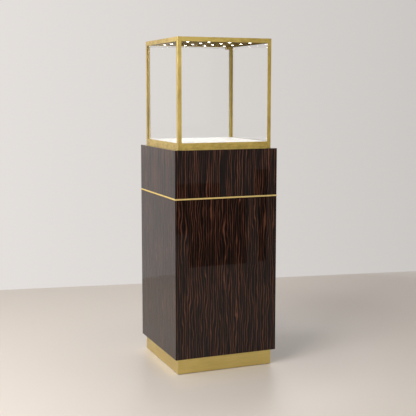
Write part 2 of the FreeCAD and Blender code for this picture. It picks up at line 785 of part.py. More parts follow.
def sill_cam_slot(z0, z1):
    """Space swept by the glass door's cam between two levels above its axis, with clearance."""
    swing = half_chord(SILL_CAM_REACH, z0 - sill_lock_z)
    thick = CAM_SHEET / 2 + SLOT_CLEAR / 2
    low_x = sill_lock_x - SILL_CAM_WIDTH / 2 - SLOT_CLEAR
    return block(low_x, sill_lock_x + swing + SLOT_CLEAR, pivot_y - thick, pivot_y + thick, z0, z1)


def sill_lock_cuts():
    """Barrel hole in the rear face of the sill and the cam's slot in its upper wall."""
    barrel_r = SILL_LOCK_BARREL_R + SEAT_FIT
    barrel_hole = rod(barrel_r, V(sill_lock_x, frame_d, sill_lock_z), V(0, -TUBE_WALL, 0))
    return barrel_hole.fuse(sill_cam_slot(sill_z - TUBE_WALL, sill_z))


def panes():
    """Fixed panes behind the angles, and the display board that ends short of the glass door's heel."""
    low_z = deck_z + ANGLE_WALL
    front = block(-pane_w, pane_w, -pane_d, -clear_d, low_z, cover_z)
    left = block(-pane_w, -clear_w, -clear_d, post_d, low_z, cover_z)
    foot_w = post_w - BOARD_CLEAR
    shelf_w = clear_w - BOARD_CLEAR
    shelf_d = clear_d - BOARD_CLEAR
    top = block(-shelf_w, shelf_w, -shelf_d, tray_rear_y, low_z + BOARD_CLEAR, board_top_z)
    rim = [edge for edge in top.Edges if edge.BoundBox.ZMax > low_z + 2 * BOARD_CLEAR]
    top = top.makeFillet(BOARD_ROUND, rim)
    foot = block(-foot_w, foot_w, BOARD_CLEAR - post_d, tray_rear_y, deck_z, low_z + BOARD_CLEAR)
    return {
        "glass_front": [front],
        "glass_left": [left],
        "glass_right": [mirrored(left)],
        "display_board": [joined(top, foot)],
    }


def glass_clamp(x0, x1, web_z, edge_z, tip_z):
    """Channel over one edge of the glass door, with its web between web_z and edge_z."""
    low_z, high_z = sorted((web_z, tip_z))
    shell = eased(x0, x1, pivot_y - clamp_y, pivot_y + clamp_y, low_z, high_z, METAL_EASE)
    low_z, high_z = sorted((edge_z, tip_z))
    return shell.cut(block(x0, x1, pivot_y - GLASS / 2, pivot_y + GLASS / 2, low_z, high_z))


def pivot_set(edge_z, up):
    """Clamp with its pivot pin, and the bush that the pin turns in. The door lies towards up."""
    web_z = edge_z - up * CLAMP_WEB
    seat_z = edge_z - up * DOOR_END_GAP
    clamp = glass_clamp(
        door_w - CLAMP_WIDTH, door_w, web_z, edge_z, edge_z + up * CLAMP_HEIGHT
    )
    pin = rod(PIVOT_R, V(pivot_x, pivot_y, web_z), V(0, 0, -up * PIVOT_LENGTH))
    bush_r = PIVOT_R + BUSH_WALL
    bush = turned(
        [
            (PIVOT_R + RUNNING_FIT, BUSH_FLANGE),
            (BUSH_FLANGE_R, BUSH_FLANGE),
            (BUSH_FLANGE_R, 0),
            (bush_r, 0),
            (bush_r, -PIVOT_LENGTH),
            (PIVOT_R + RUNNING_FIT, -PIVOT_LENGTH),
        ],
        V(pivot_x, pivot_y, seat_z),
        V(0, 0, up),
    )
    return joined(clamp, pin), bush


def glass_door():
    """Frameless rear door on pivot clamps, locked by a cam that rises from the sill."""
    web_z = door_low_z - CLAMP_WEB
    notch_high_z = sill_lock_z + SILL_CAM_REACH + SLOT_CLEAR
    slot = sill_cam_slot(web_z, door_low_z)
    low_x = slot.BoundBox.XMin
    high_x = slot.BoundBox.XMax
    glass_low_y = pivot_y - GLASS / 2
    glass_high_y = pivot_y + GLASS / 2
    pane = block(-door_w, door_w, glass_low_y, glass_high_y, door_low_z, door_high_z)
    notch = block(low_x, high_x, glass_low_y, glass_high_y, door_low_z, notch_high_z)
    low_clamp, low_bush = pivot_set(door_low_z, 1)
    high_clamp, high_bush = pivot_set(door_high_z, -1)
    strike_x = (low_x + high_x - STRIKE_WIDTH) / 2
    strike_end_x = strike_x + STRIKE_WIDTH
    strike = glass_clamp(strike_x, strike_end_x, web_z, door_low_z, door_low_z + CLAMP_HEIGHT)
    stop_x = -door_w + DOOR_SIDE_GAP
    stops = [
        block(stop_x, stop_x + STOP_WIDTH, post_d, glass_low_y - STOP_GAP, z, z + STOP_HEIGHT)
        for z in (sill_z, rail_z - STOP_HEIGHT)
    ]
    body, plug = cam_lock(
        sill_lock_x, sill_lock_z, frame_d, frame_d - TUBE_WALL,
        pivot_y + CAM_SHEET / 2 + RUNNING_FIT,
        (SILL_LOCK_BEZEL_R, SILL_LOCK_BARREL_R, SILL_LOCK_PLUG_R, SILL_LOCK_TANG_R),
        SILL_CAM_REACH, SILL_CAM_WIDTH, -90,
    )
    return {
        "glass_door": [pane.cut(notch)],
        "door_clamps": [low_clamp, high_clamp],
        "pivot_bushes": [low_bush, high_bush],
        "door_strike": [strike.cut(slot)],
        "door_grip": [door_grip(strike_x, strike_end_x)],
        "door_stops": stops,
        "glass_lock_body": body,
        "glass_lock_plug": plug,
    }


def door_grip(x0, x1):
    """Lip on the outer cheek of the strike, turned down at its end to hook a finger behind."""
    base_y = pivot_y + clamp_y
    end_y = base_y + GRIP_REACH
    high_z = door_low_z + CLAMP_HEIGHT
    return along_x(
        [
            (base_y, door_low_z - CLAMP_WEB),
            (base_y + GRIP_SHEET, door_low_z - CLAMP_WEB),
            (base_y + GRIP_SHEET, high_z - GRIP_SHEET),
            (end_y - GRIP_SHEET, high_z - GRIP_SHEET),
            (end_y - GRIP_SHEET, high_z - GRIP_LIP),
            (end_y, high_z - GRIP_LIP),
            (end_y, high_z),
            (base_y, high_z),
        ],
        x0,
        x1,
    )


def led_grid():
    start = -(LED_ROWS - 1) / 2 * LED_PITCH
    return [start + i * LED_PITCH for i in range(LED_ROWS)]


def lit_ceiling():
    """Shallow pan with LED boards on it and lenses through it, closed by the top cover."""
    pan_w = clear_w - BOARD_CLEAR
    front_y = BOARD_CLEAR - clear_d
    rear_y = post_d - BOARD_CLEAR
    pan = block(-pan_w, pan_w, front_y, rear_y, pan_z, cover_z)
    pan = pan.cut(
        block(
            CEILING_SHEET - pan_w, pan_w - CEILING_SHEET, front_y + CEILING_SHEET, rear_y - CEILING_SHEET,
            pan_floor_z, cover_z,
        )
    )
    lines = led_grid()
    holes = [rod(LED_R + LED_CLEAR, V(x, y, pan_z), V(0, 0, CEILING_SHEET)) for x in lines for y in lines]
    cable_entry = rod(cable_hole_r, V(cable_x, rear_y, cable_top_z), V(0, -CEILING_SHEET, 0))
    pan = pan.cut(holes + [cable_entry])
    lens_low_z = pan_z - LED_DOME
    ball_r = (LED_R ** 2 + LED_DOME ** 2) / (2 * LED_DOME)
    lens = rod(LED_R, V(0, 0, lens_low_z), V(0, 0, pan_floor_z - lens_low_z))
    lens = lens.common(Part.makeSphere(ball_r, V(0, 0, lens_low_z + ball_r)))
    lenses = [moved(lens, x, y, 0) for x in lines for y in lines]
    board_x = lines[-1] + LED_BOARD_END
    reach = LED_BOARD_WIDTH / 2
    board_high_z = pan_floor_z + LED_BOARD_SHEET
    boards = [block(-board_x, board_x, y - reach, y + reach, pan_floor_z, board_high_z) for y in lines]
    cover = block(-pane_w, pane_w, -pane_d, post_d, cover_z, cover_z + COVER_SHEET)
    return {
        "ceiling_pan": [pan],
        "led_lenses": lenses,
        "led_boards": boards + [cable_terminal()],
        "top_cover": [cover],
    }


def terminal_rear_y():
    return led_grid()[-1] + LED_BOARD_WIDTH / 2 + TERMINAL_LENGTH + 2 * BOARD_CLEAR


def cable_terminal():
    """Terminal block on the floor of the pan, where the cable ends."""
    high_x = cable_x + CABLE_R + CABLE_SIDE_GAP / 2
    rear_y = terminal_rear_y()
    return block(
        high_x - TERMINAL_WIDTH, high_x, rear_y - TERMINAL_LENGTH, rear_y,
        pan_floor_z, pan_floor_z + TERMINAL_HEIGHT,
    )


def bent_path(points, radii):
    """Wire of straight runs joined by tangent arcs, one radius for each inner point."""
    edges = []
    start = points[0]
    for before, corner, after, radius in zip(points, points[1:], points[2:], radii):
        back = (before - corner).normalize()
        ahead = (after - corner).normalize()
        half_turn = (math.pi - back.getAngle(ahead)) / 2
        setback = radius * math.tan(half_turn)
        arc_start = corner + back * setback
        arc_end = corner + ahead * setback
        bisector = (back + ahead).normalize()
        arc_mid = corner + bisector * (radius / math.cos(half_turn) - radius)
        edges.append(Part.makeLine(start, arc_start))
        edges.append(Part.Arc(arc_start, arc_mid, arc_end).toShape())
        start = arc_end
    edges.append(Part.makeLine(start, points[-1]))
    return Part.Wire(edges)


def power_supply():
    """LED driver in the storage space, and the cable that climbs through a rear post to the ceiling."""
    half = DRIVER_LENGTH / 2
    rear_y = -inner_d
    case = eased(-half, half, rear_y, rear_y + DRIVER_DEPTH, driver_z, driver_z + DRIVER_HEIGHT, ARRIS)
    ears = block(
        -half - DRIVER_EAR, half + DRIVER_EAR, rear_y, rear_y + DRIVER_EAR_SHEET,
        driver_z, driver_z + DRIVER_HEIGHT / 2,
    )
    screw_z = driver_z + DRIVER_HEIGHT / 4
    screw_holes = [
        rod(DRIVER_SCREW_R, V(side * (half + DRIVER_EAR / 2), rear_y, screw_z), V(0, DRIVER_EAR_SHEET, 0))
        for side in (-1, 1)
    ]
    driver = joined(case, ears).cut(screw_holes)
    lead_z = driver_z + 0.75 * DRIVER_HEIGHT
    route = [
        V(half, cable_front_y, lead_z),
        V(cable_x, cable_front_y, lead_z),
        V(cable_x, cable_front_y, cable_run_z),
        V(cable_x, pivot_y, cable_run_z),
        V(cable_x, pivot_y, cable_top_z),
        V(cable_x, terminal_rear_y(), cable_top_z),
    ]
    path = bent_path(route, [CABLE_BEND, CABLE_BEND, CABLE_BEND, CABLE_TURN])
    ring = Part.Wire(Part.makeCircle(CABLE_R, route[0], V(1, 0, 0)))
    cable = path.makePipeShell([ring], True, False)
    span = pivot_y - cable_front_y
    clips = []
    for i in range(CLIP_COUNT):
        y = cable_front_y + span * (i + 1) / (CLIP_COUNT + 1)
        reach = CLIP_WIDTH / 2
        low_z = cable_run_z - 2 * CABLE_R
        saddle = block(cable_x - reach, cable_x + reach, y - reach, y + reach, low_z, ceiling_of_band_z)
        groove = rod(CABLE_R + THREAD_FIT, V(cable_x, y - reach, cable_run_z), V(0, CLIP_WIDTH, 0))
        clips.append(saddle.cut(groove))
    return {"led_driver": [driver], "led_cable": [cable], "cable_clips": clips}


def main():
    os.makedirs("parts", exist_ok=True)
    sections = (
        plinth, cabinet_box, storage_door, trim_line, band_box, drawer,
        vitrine_frame, panes, glass_door, lit_ceiling, power_supply,
    )
    for section in sections:
        for name, solids in section().items():
            shape = solids[0] if len(solids) == 1 else Part.makeCompound(solids)
            shape.exportStep(f"parts/{name}.step")


main()
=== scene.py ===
import math

import bmesh
import bpy
from mathutils import Matrix, Vector


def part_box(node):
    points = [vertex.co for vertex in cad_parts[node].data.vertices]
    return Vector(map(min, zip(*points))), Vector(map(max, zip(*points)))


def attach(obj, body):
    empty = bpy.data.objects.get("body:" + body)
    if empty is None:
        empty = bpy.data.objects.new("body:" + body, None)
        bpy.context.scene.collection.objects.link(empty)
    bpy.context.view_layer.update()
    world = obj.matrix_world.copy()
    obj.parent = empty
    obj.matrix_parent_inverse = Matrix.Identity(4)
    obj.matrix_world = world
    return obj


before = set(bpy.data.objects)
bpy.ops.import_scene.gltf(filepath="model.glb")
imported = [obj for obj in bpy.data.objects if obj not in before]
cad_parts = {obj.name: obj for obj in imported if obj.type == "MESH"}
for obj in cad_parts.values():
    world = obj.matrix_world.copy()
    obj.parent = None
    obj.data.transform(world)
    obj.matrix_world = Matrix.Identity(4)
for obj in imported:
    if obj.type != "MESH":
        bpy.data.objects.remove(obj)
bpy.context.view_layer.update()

# Metres, in the part's frame: the front faces -Y, the service side +Y, and the floor is z = 0.

# Ways that a piece can face
TO_LEFT, TO_RIGHT = (-1.0, 0.0, 0.0), (1.0, 0.0, 0.0)
TO_FRONT, TO_REAR = (0.0, -1.0, 0.0), (0.0, 1.0, 0.0)
DOWN, UP = (0.0, 0.0, -1.0), (0.0, 0.0, 1.0)

# Camera: its place, its turn in degrees, and its lens and sensor in millimetres
CAMERA_PLACE = (-1.4078, -3.5453, 1.1559)
CAMERA_YAW = 21.74
CAMERA_PITCH = 6.903
CAMERA_LENS = 76.795
CAMERA_SENSOR = 36.0
CAMERA_SHIFT = -0.02

# Room: a pale floor, and a wall that stands a little turned behind the case
ROOM_SIZE = 12.0
WALL_HEIGHT = 5.0
WALL_DISTANCE = 1.534
WALL_TURN = -9.52
WALL_COLOUR = (0.72, 0.69, 0.665)
# The wall's glow is painted light: WALL_LIT at the left, fading to painted shade WALL_SHADE at the
# right, over WALL_SHADE_RUN in X.
WALL_LIT = (0.77, 0.735, 0.71)
WALL_SHADE = (0.58, 0.555, 0.535)
WALL_SHADE_RUN = (-0.6, 2.2)
FLOOR_COLOUR = (0.66, 0.60, 0.547)
FLOOR_GRAIN = 85.0
FLOOR_GRAIN_TONE = 1.012
FLOOR_GRAIN_DULLS = 0.06

# The floor by its distance from the middle: polished near the case, then dull, then faded out
FLOOR_POLISH = (0.55, 1.30)
FLOOR_ROUGHNESS = (0.26, 0.85)
FLOOR_FADE = (2.0, 3.6)

# What is left of the floor and of the low part of the wall in a reflection
FLOOR_MIRRORED = 0.78
WALL_MIRRORED = 0.78
WALL_MIRROR_RISE = (0.75, 1.0)

# Dark flags in front of the case, as (left, right, low, high) on an upright plane at FLAG_Y
FLAG_Y = -2.325
FLAGS = (
    (0.616, 1.036, 0.002, 0.455),
    (0.523, 0.616, 0.230, 0.455),
    (1.122, 1.184, 0.010, 0.455),
    (0.520, 0.840, 0.462, 0.560),
    (1.090, 1.190, 0.462, 0.640),
)
FLAG_COLOUR = (0.004, 0.004, 0.004)

# Light that the surround gives, all round and from the level front, which is dim
SURROUND = (0.43, 0.42, 0.41)
SURROUND_FRONT = (0.28, 0.27, 0.26)
SURROUND_FRONT_REACH = (0.0, 0.9)
SURROUND_FRONT_HEIGHT = (0.15, 0.75)

# Soft boxes, as (name, place, target, (width, height), watts, colour)
PLAIN_WHITE = (1.0, 1.0, 1.0)
WARM_WHITE = (1.0, 0.975, 0.94)
LAMPS = (
    ("key_left", (-3.0, -1.9, 2.8), (0.0, 0.0, 0.6), (2.0, 2.0), 122.0, WARM_WHITE),
    ("top_soft", (-2.1, 0.1, 2.2), (-1.1, 0.1, 0.0), (1.8, 1.8), 28.0, PLAIN_WHITE),
    ("front_card", (0.75, -3.4, 1.25), (0.0, 0.0, 1.1), (0.9, 0.7), 3.2, PLAIN_WHITE),
    ("rear_soft", (1.8, 3.2, 2.4), (0.0, 0.0, 0.6), (1.8, 1.8), 24.0, PLAIN_WHITE),
)

# Light of the sixteen spots together, as one soft box just under them
GLOW_DROP = 0.004
GLOW_SIZE = (0.32, 0.32)
GLOW_POWER = 0.80
GLOW_COLOUR = (1.0, 0.975, 0.945)

# Veneer tones, from the darkest of the figure to the palest
EBONY_STOPS = (
    (0.00, (0.0052, 0.0030, 0.0022)),
    (0.34, (0.0105, 0.0051, 0.0036)),
    (0.64, (0.0500, 0.0180, 0.0104)),
    (1.00, (0.1300, 0.0480, 0.0280)),
)
PORE_COLOUR = (0.004, 0.003, 0.002)
PORE_DEPTH = 0.6

# Layers of the veneer figure, in cells per metre across the grain and along it
SLOW_SWAY = (16.0, 5.0)
QUICK_SWAY = (55.0, 14.0)
DRIFT = (38.0, 0.7)
FADING_ACROSS = 78.0
HAIRLINES = (520.0, 9.0)
PORES = (1500.0, 55.0)

# How much each layer does: shares of the figure, and how far it pushes the ribbons aside
QUICK_SHARE = 0.75
SWAY_GAIN = 4.0
DRIFT_REACH = 0.014
RIBBON_EDGE = 1.7
THREADS_PER_RIBBON = 2.7
THREAD_SHARE = 0.30
HAIRLINE_SHARE = 0.55
FIGURE_START = 0.08

# Figures: ribbons per metre and their sway. They weaken to Fade here and there, over longer runs
# where Flow is low, and a figure as strong as Full is palest.
CABINET_FIGURE = {"Stripes": 96.0, "Sway": 0.0050, "Flow": 5.5, "Fade": 0.52, "Full": 1.12}
BAND_FIGURE = {"Stripes": 110.0, "Sway": 0.0030, "Flow": 4.0, "Fade": 0.28, "Full": 0.86}
TOP_FIGURE = {**CABINET_FIGURE, "Stripes": 110.0, "Sway": 0.0025}

# Brushed metals: how fine the scratches are along each axis, in cells per metre
UPRIGHT = (2400.0, 2400.0, 6.0)
LEVEL = (6.0, 6.0, 2400.0)
FRONT_TO_BACK = (2400.0, 6.0, 2400.0)
SATIN_SPECKS = (900.0, 900.0, 900.0)

# Coarse scratches and patches of tone, as shares of how fine the scratches are
COARSE_SCRATCHES = 0.22
PATCH_STRETCH = 0.035

# Patches and broad clouds of tone in cells per metre, unless the scratches make patches finer
PATCHES = 11.0
BROAD_CLOUDS = 7.0

# What part of the scratches is fine, and the usual roughness from lowest to highest
FINE_SHARE = 0.6
SATIN_GLOSS = (0.34, 0.48)

# The part of each noise's range that is spread out from none to full
FADING_WINDOW = (0.36, 0.64)
PORE_WINDOW = (0.60, 0.72)
SCRATCH_WINDOW = (0.30, 0.70)
CLOUD_WINDOW = (0.32, 0.68)
SMEAR_WINDOW = (0.35, 0.70)
DUST_WINDOW = (0.62, 0.80)
GRAIN_WINDOW = (0.3, 0.7)

# Brushed metals: the deep and the pale tone
GOLD_TONES = ((0.69, 0.502, 0.138), (0.97, 0.745, 0.260))
BAR_TONES = ((0.59, 0.403, 0.076), (1.0, 0.755, 0.205))
PLINTH_TONES = ((0.70, 0.524, 0.142), (1.0, 0.796, 0.283))
TRIM_TONES = ((1.0, 0.75, 0.29), (1.0, 0.84, 0.39))
PLUG_TONES = ((0.52, 0.52, 0.53), (0.68, 0.68, 0.69))
ZINC_TONES = ((0.48, 0.49, 0.52), (0.62, 0.63, 0.66))

# Other finishes: tones, and how fine their grain and marks are in cells per metre
PANE_PASSES = 0.86
LENS_COLOUR = (1.0, 0.97, 0.90)
LENS_TONES = ((1.0, 0.93, 0.80), (1.0, 0.98, 0.93))
LENS_GLOW = 22.0
FINE_CELLS = 900.0
SMEARS = 14.0
BOARD_TONES = ((0.87, 0.86, 0.845), (0.835, 0.825, 0.805))
BOARD_PEBBLES = 1100.0
BOARD_SMEARS = 9.0
LAMINATE_GRAIN_TONE = 0.62
LAMINATE_GLOSS = (0.42, 0.58)

# Relief of each finish, as the strength of its bumps and their height
EBONY_RELIEF = (0.05, 0.0004)
BRUSHED_RELIEF = (0.10, 0.0002)
DUST_RELIEF = (0.05, 0.0001)
BOARD_RELIEF = (0.15, 0.0003)
LAMINATE_RELIEF = (0.08, 0.0003)

FLOAT = "NodeSocketFloat"
VECTOR = "NodeSocketVector"


def put(tree, kind, reads=None, **options):
    """Adds a node. Each named input in reads gets a value, or a socket to read from."""
    node = tree.nodes.new(kind)
    for name, value in options.items():
        setattr(node, name, value)
    for name, value in (reads or {}).items():
        socket = node.inputs[name]
        if isinstance(value, bpy.types.NodeSocket):
            tree.links.new(value, socket)
        else:
            socket.default_value = value
    return node


def maths(tree, operation, *values):
    reads = dict(enumerate(values))
    return put(tree, "ShaderNodeMath", reads, operation=operation).outputs[0]


def vector_maths(tree, operation, reads, output="Vector"):
    return put(tree, "ShaderNodeVectorMath", reads, operation=operation).outputs[output]


def blend(tree, first, share, second):
    """Value made of a share of the first, and the rest of the second."""
    return maths(tree, "MULTIPLY_ADD", second, 1.0 - share, maths(tree, "MULTIPLY", first, share))


def own_place(tree):
    """Place on the piece itself, in its own coordinates."""
    return put(tree, "ShaderNodeTexCoord").outputs["Object"]


def axes_of(tree, vector):
    return put(tree, "ShaderNodeSeparateXYZ", {0: vector}).outputs


def noise(tree, vector, scale, detail=2.0, roughness=0.5):
    reads = {"Vector": vector, "Scale": scale, "Detail": detail, "Roughness": roughness}
    return put(tree, "ShaderNodeTexNoise", reads).outputs["Fac"]


def stretched(tree, vector, scale):
    reads = {"Vector": vector, "Scale": scale}
    return put(tree, "ShaderNodeMapping", reads).outputs["Vector"]


def ramp(tree, factor, stops):
    node = put(tree, "ShaderNodeValToRGB", {"Fac": factor})
    points = node.color_ramp.elements
    while len(points) < len(stops):
        points.new(1.0)
    for point, (place, colour) in zip(points, stops):
        point.position = place
        point.color = opaque(colour)
    return node.outputs["Color"]


def between(tree, factor, first, second):
    """Colour part way from first to second."""
    reads = {"Factor": factor, 6: first, 7: second}
    return put(tree, "ShaderNodeMix", reads, data_type="RGBA").outputs[2]


def remapped(tree, value, low, high, to_low=0.0, to_high=1.0):
    reads = {
        "Value": value, "From Min": low, "From Max": high, "To Min": to_low, "To Max": to_high,
    }
    return put(tree, "ShaderNodeMapRange", reads).outputs["Result"]


def opaque(colour):
    return (*colour, 1.0)


def toned(colour, share):
    return tuple(c * share for c in colour)


def finish_group(name, inputs, outputs):
    """Empty shader group with named sockets. Returns the tree, its inputs and its outputs."""
    group = bpy.data.node_groups.new(name, "ShaderNodeTree")
    for label, kind, value in inputs:
        socket = group.interface.new_socket(label, in_out="INPUT", socket_type=kind)
        socket.default_value = value
    for label in outputs:
        group.interface.new_socket(label, in_out="OUTPUT", socket_type=FLOAT)
    given = group.nodes.new("NodeGroupInput").outputs
    return group, given, group.nodes.new("NodeGroupOutput").inputs


def make_ebony_figure():
    """Striped figure of dark veneer, from the places across the grain and along it."""
    places = {"Across": 0.0, "Along": 0.0, "Leaf": 0.0, **CABINET_FIGURE}
    group, given, result = finish_group(
        "ebony_figure",
        [(label, FLOAT, value) for label, value in places.items()],
        ["Figure", "Pores"],
    )
    plain = given["Across"]

    def field(across, across_scale, along_scale, detail=1.0, roughness=0.5):
        reads = {
            "X": maths(group, "MULTIPLY", across, across_scale),
            "Y": given["Leaf"],
            "Z": maths(group, "MULTIPLY", given["Along"], along_scale),
        }
        place = put(group, "ShaderNodeCombineXYZ", reads).outputs[0]
        return noise(group, place, 1.0, detail, roughness)

    def aside(layer):
        return maths(group, "SUBTRACT", field(plain, *layer), 0.5)

    def crests(across, count):
        waves = maths(group, "MULTIPLY", across, count)
        turns = maths(group, "MULTIPLY", waves, 2.0 * math.pi)
        return maths(group, "MULTIPLY_ADD", maths(group, "SINE", turns), 0.5, 0.5)

    sway = maths(group, "MULTIPLY_ADD", aside(QUICK_SWAY), QUICK_SHARE, aside(SLOW_SWAY))
    reach = maths(group, "MULTIPLY", given["Sway"], SWAY_GAIN)
    across = maths(group, "MULTIPLY_ADD", sway, reach, plain)
    across = maths(group, "MULTIPLY_ADD", aside(DRIFT), DRIFT_REACH, across)

    ribbons = maths(group, "POWER", crests(across, given["Stripes"]), RIBBON_EDGE)
    threads = crests(across, maths(group, "MULTIPLY", given["Stripes"], THREADS_PER_RIBBON))
    fading = field(across, FADING_ACROSS, given["Flow"], detail=2.0, roughness=0.6)
    strength = remapped(group, fading, *FADING_WINDOW, given["Fade"], 1.0)
    hairlines = field(across, *HAIRLINES, detail=2.0, roughness=0.6)
    hairlines = maths(group, "SUBTRACT", hairlines, 0.5)

    figure = maths(group, "MULTIPLY", ribbons, strength)
    threads = maths(group, "MULTIPLY", threads, strength)
    figure = maths(group, "MULTIPLY_ADD", threads, THREAD_SHARE, figure)
    figure = maths(group, "MULTIPLY_ADD", hairlines, HAIRLINE_SHARE, figure)
    group.links.new(remapped(group, figure, FIGURE_START, given["Full"]), result["Figure"])
    pores = field(across, *PORES)
    group.links.new(remapped(group, pores, *PORE_WINDOW), result["Pores"])
    return group


def make_brush_lines():
    """Fine parallel scratches of a brushed metal, and the clouds in its tone."""
    group, given, result = finish_group(
        "brush_lines",
        [("Scale", VECTOR, LEVEL), ("Patch", VECTOR, (PATCHES, PATCHES, PATCHES))],
        ["Lines", "Clouds"],
    )
    place = own_place(group)
    fine = stretched(group, place, given["Scale"])
    fine = noise(group, fine, 1.0, detail=3.0, roughness=0.65)
    coarse_scale = vector_maths(group, "SCALE", {0: given["Scale"], "Scale": COARSE_SCRATCHES})
    coarse = noise(group, stretched(group, place, coarse_scale), 1.0)
    lines = blend(group, fine, FINE_SHARE, coarse)
    group.links.new(remapped(group, lines, *SCRATCH_WINDOW), result["Lines"])

    patch_scale = vector_maths(group, "SCALE", {0: given["Scale"], "Scale": PATCH_STRETCH})
    patch_scale = vector_maths(group, "MAXIMUM", {0: patch_scale, 1: given["Patch"]})
    patches = stretched(group, place, patch_scale)
    patches = noise(group, patches, 1.0, detail=3.0, roughness=0.6)
    broad = noise(group, place, BROAD_CLOUDS)
    clouds = blend(group, broad, 0.5, patches)
    group.links.new(remapped(group, clouds, *CLOUD_WINDOW), result["Clouds"])
    return group


def make_handling():
    """Faint smears and dust that keep a plain finish from looking perfectly even."""
    group, given, result = finish_group(
        "handling_marks", [("Scale", FLOAT, SMEARS)], ["Smears", "Dust"]
    )
    place = own_place(group)
    smears = noise(group, place, given["Scale"], detail=4.0, roughness=0.6)
    group.links.new(remapped(group, smears, *SMEAR_WINDOW), result["Smears"])
    dust = noise(group, place, FINE_CELLS, detail=2.0, roughness=0.6)
    group.links.new(remapped(group, dust, *DUST_WINDOW), result["Dust"])
    return group


EBONY_FIGURE = make_ebony_figure()
BRUSH_LINES = make_brush_lines()
HANDLING = make_handling()


def new_finish(name, **plain):
    """Material with its Principled shader and the constant values that are the same all over."""
    material = bpy.data.materials.new(name)
    material.use_nodes = True
    tree = material.node_tree
    shader = tree.nodes["Principled BSDF"]
    for label, value in plain.items():
        shader.inputs[label.replace("_", " ")].default_value = value
    return material, tree, shader


def use_group(tree, group, reads):
    return put(tree, "ShaderNodeGroup", reads, node_tree=group).outputs


def feed(tree, shader, **sockets):
    """Links what changes over the surface to the shader's inputs of these names."""
    for label, socket in sockets.items():
        tree.links.new(socket, shader.inputs[label.replace("_", " ")])


def bumped(tree, height, strength, distance):
    reads = {"Height": height, "Strength": strength, "Distance": distance}
    return put(tree, "ShaderNodeBump", reads).outputs["Normal"]


def shown_as(tree, factor, first, second):
    """Ends a material in a mix of two shaders."""
    mixed = put(tree, "ShaderNodeMixShader", {0: factor, 1: first, 2: second}).outputs[0]
    tree.links.new(mixed, tree.nodes["Material Output"].inputs["Surface"])


def ebony(name, leaf, figure, lying=False, wrapped=False):
    """High-gloss striped ebony, with the grain upright, or front to back on a lying board.

    A wrapped leaf runs on round the front corners to the sides.
    """
    material, tree, shader = new_finish(
        name, Roughness=0.42, Specular_IOR_Level=0.06,
        Coat_Weight=1.0, Coat_Roughness=0.025, Coat_IOR=1.35,
    )
    axes = axes_of(tree, own_place(tree))
    across = axes["X"]
    if wrapped:
        front_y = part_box("cabinet_front_panel")[0].y
        behind_front = maths(tree, "SUBTRACT", axes["Y"], front_y)
        side = maths(tree, "SIGN", across)
        across = maths(tree, "MULTIPLY_ADD", side, behind_front, across)
    along = axes["Y"] if lying else axes["Z"]
    places = {"Across": across, "Along": along, "Leaf": leaf}
    veneer = use_group(tree, EBONY_FIGURE, {**places, **figure})
    colour = ramp(tree, veneer["Figure"], EBONY_STOPS)
    pores = maths(tree, "MULTIPLY", veneer["Pores"], PORE_DEPTH)
    feed(
        tree, shader,
        Base_Color=between(tree, pores, colour, opaque(PORE_COLOUR)),
        Normal=bumped(tree, veneer["Figure"], *EBONY_RELIEF),
    )
    return material


def brushed(
    name, scale, tones=GOLD_TONES, gloss=SATIN_GLOSS,
    patch=PATCHES, mottle=0.45, haze=0.5, coat=0.6,
):
    """Brushed metal under a clear satin coat, with its scratches running where scale is low.

    Clouds vary its tone by mottle. They are smaller where patch is high, and have harder edges
    where haze is low.
    """
    material, tree, shader = new_finish(
        name, Metallic=1.0, Coat_Weight=coat, Coat_Roughness=0.25
    )
    brush = use_group(tree, BRUSH_LINES, {"Scale": scale, "Patch": (patch, patch, patch)})
    streaks = maths(tree, "MULTIPLY", brush["Lines"], 1.0 - mottle)
    clouds = remapped(tree, brush["Clouds"], 0.5 - haze, 0.5 + haze, 0.0, mottle)
    tone = maths(tree, "ADD", clouds, streaks)
    deep, pale = tones
    feed(
        tree, shader,
        Base_Color=between(tree, tone, opaque(deep), opaque(pale)),
        Roughness=remapped(tree, brush["Lines"], 0.0, 1.0, *gloss),
        Normal=bumped(tree, brush["Lines"], *BRUSHED_RELIEF),
    )
    return material


def even(name, colour, variation, gloss, scale=SMEARS, **plain):
    """Moulded or coated finish with a little unevenness in tone and gloss."""
    material, tree, shader = new_finish(name, **plain)
    marks = use_group(tree, HANDLING, {"Scale": scale})
    shade = toned(colour, 1.0 - variation)
    feed(
        tree, shader,
        Base_Color=between(tree, marks["Smears"], opaque(colour), opaque(shade)),
        Roughness=remapped(tree, marks["Smears"], 0.0, 1.0, *gloss),
        Normal=bumped(tree, marks["Dust"], *DUST_RELIEF),
    )
    return material


def clear(name, colour, ior, roughness=0.0):
    """Clear solid that lets most of the light of lamps through."""
    material, tree, shader = new_finish(
        name, Base_Color=opaque(colour), Roughness=roughness, IOR=ior, Transmission_Weight=1.0
    )
    shadow = put(tree, "ShaderNodeLightPath").outputs["Is Shadow Ray"]
    let_through = {"Color": opaque(toned(colour, PANE_PASSES))}
    passing = put(tree, "ShaderNodeBsdfTransparent", let_through).outputs[0]
    shown_as(tree, shadow, shader.outputs[0], passing)
    return material


def lit_lens():
    """Diffuser that glows a little unevenly."""
    material, tree, shader = new_finish(
        "lens_lit", Base_Color=opaque(LENS_COLOUR), Roughness=0.25, Emission_Strength=LENS_GLOW
    )
    cells = noise(tree, own_place(tree), FINE_CELLS, detail=1.0)
    warm, cool = LENS_TONES
    feed(tree, shader, Emission_Color=between(tree, cells, opaque(warm), opaque(cool)))
    return material


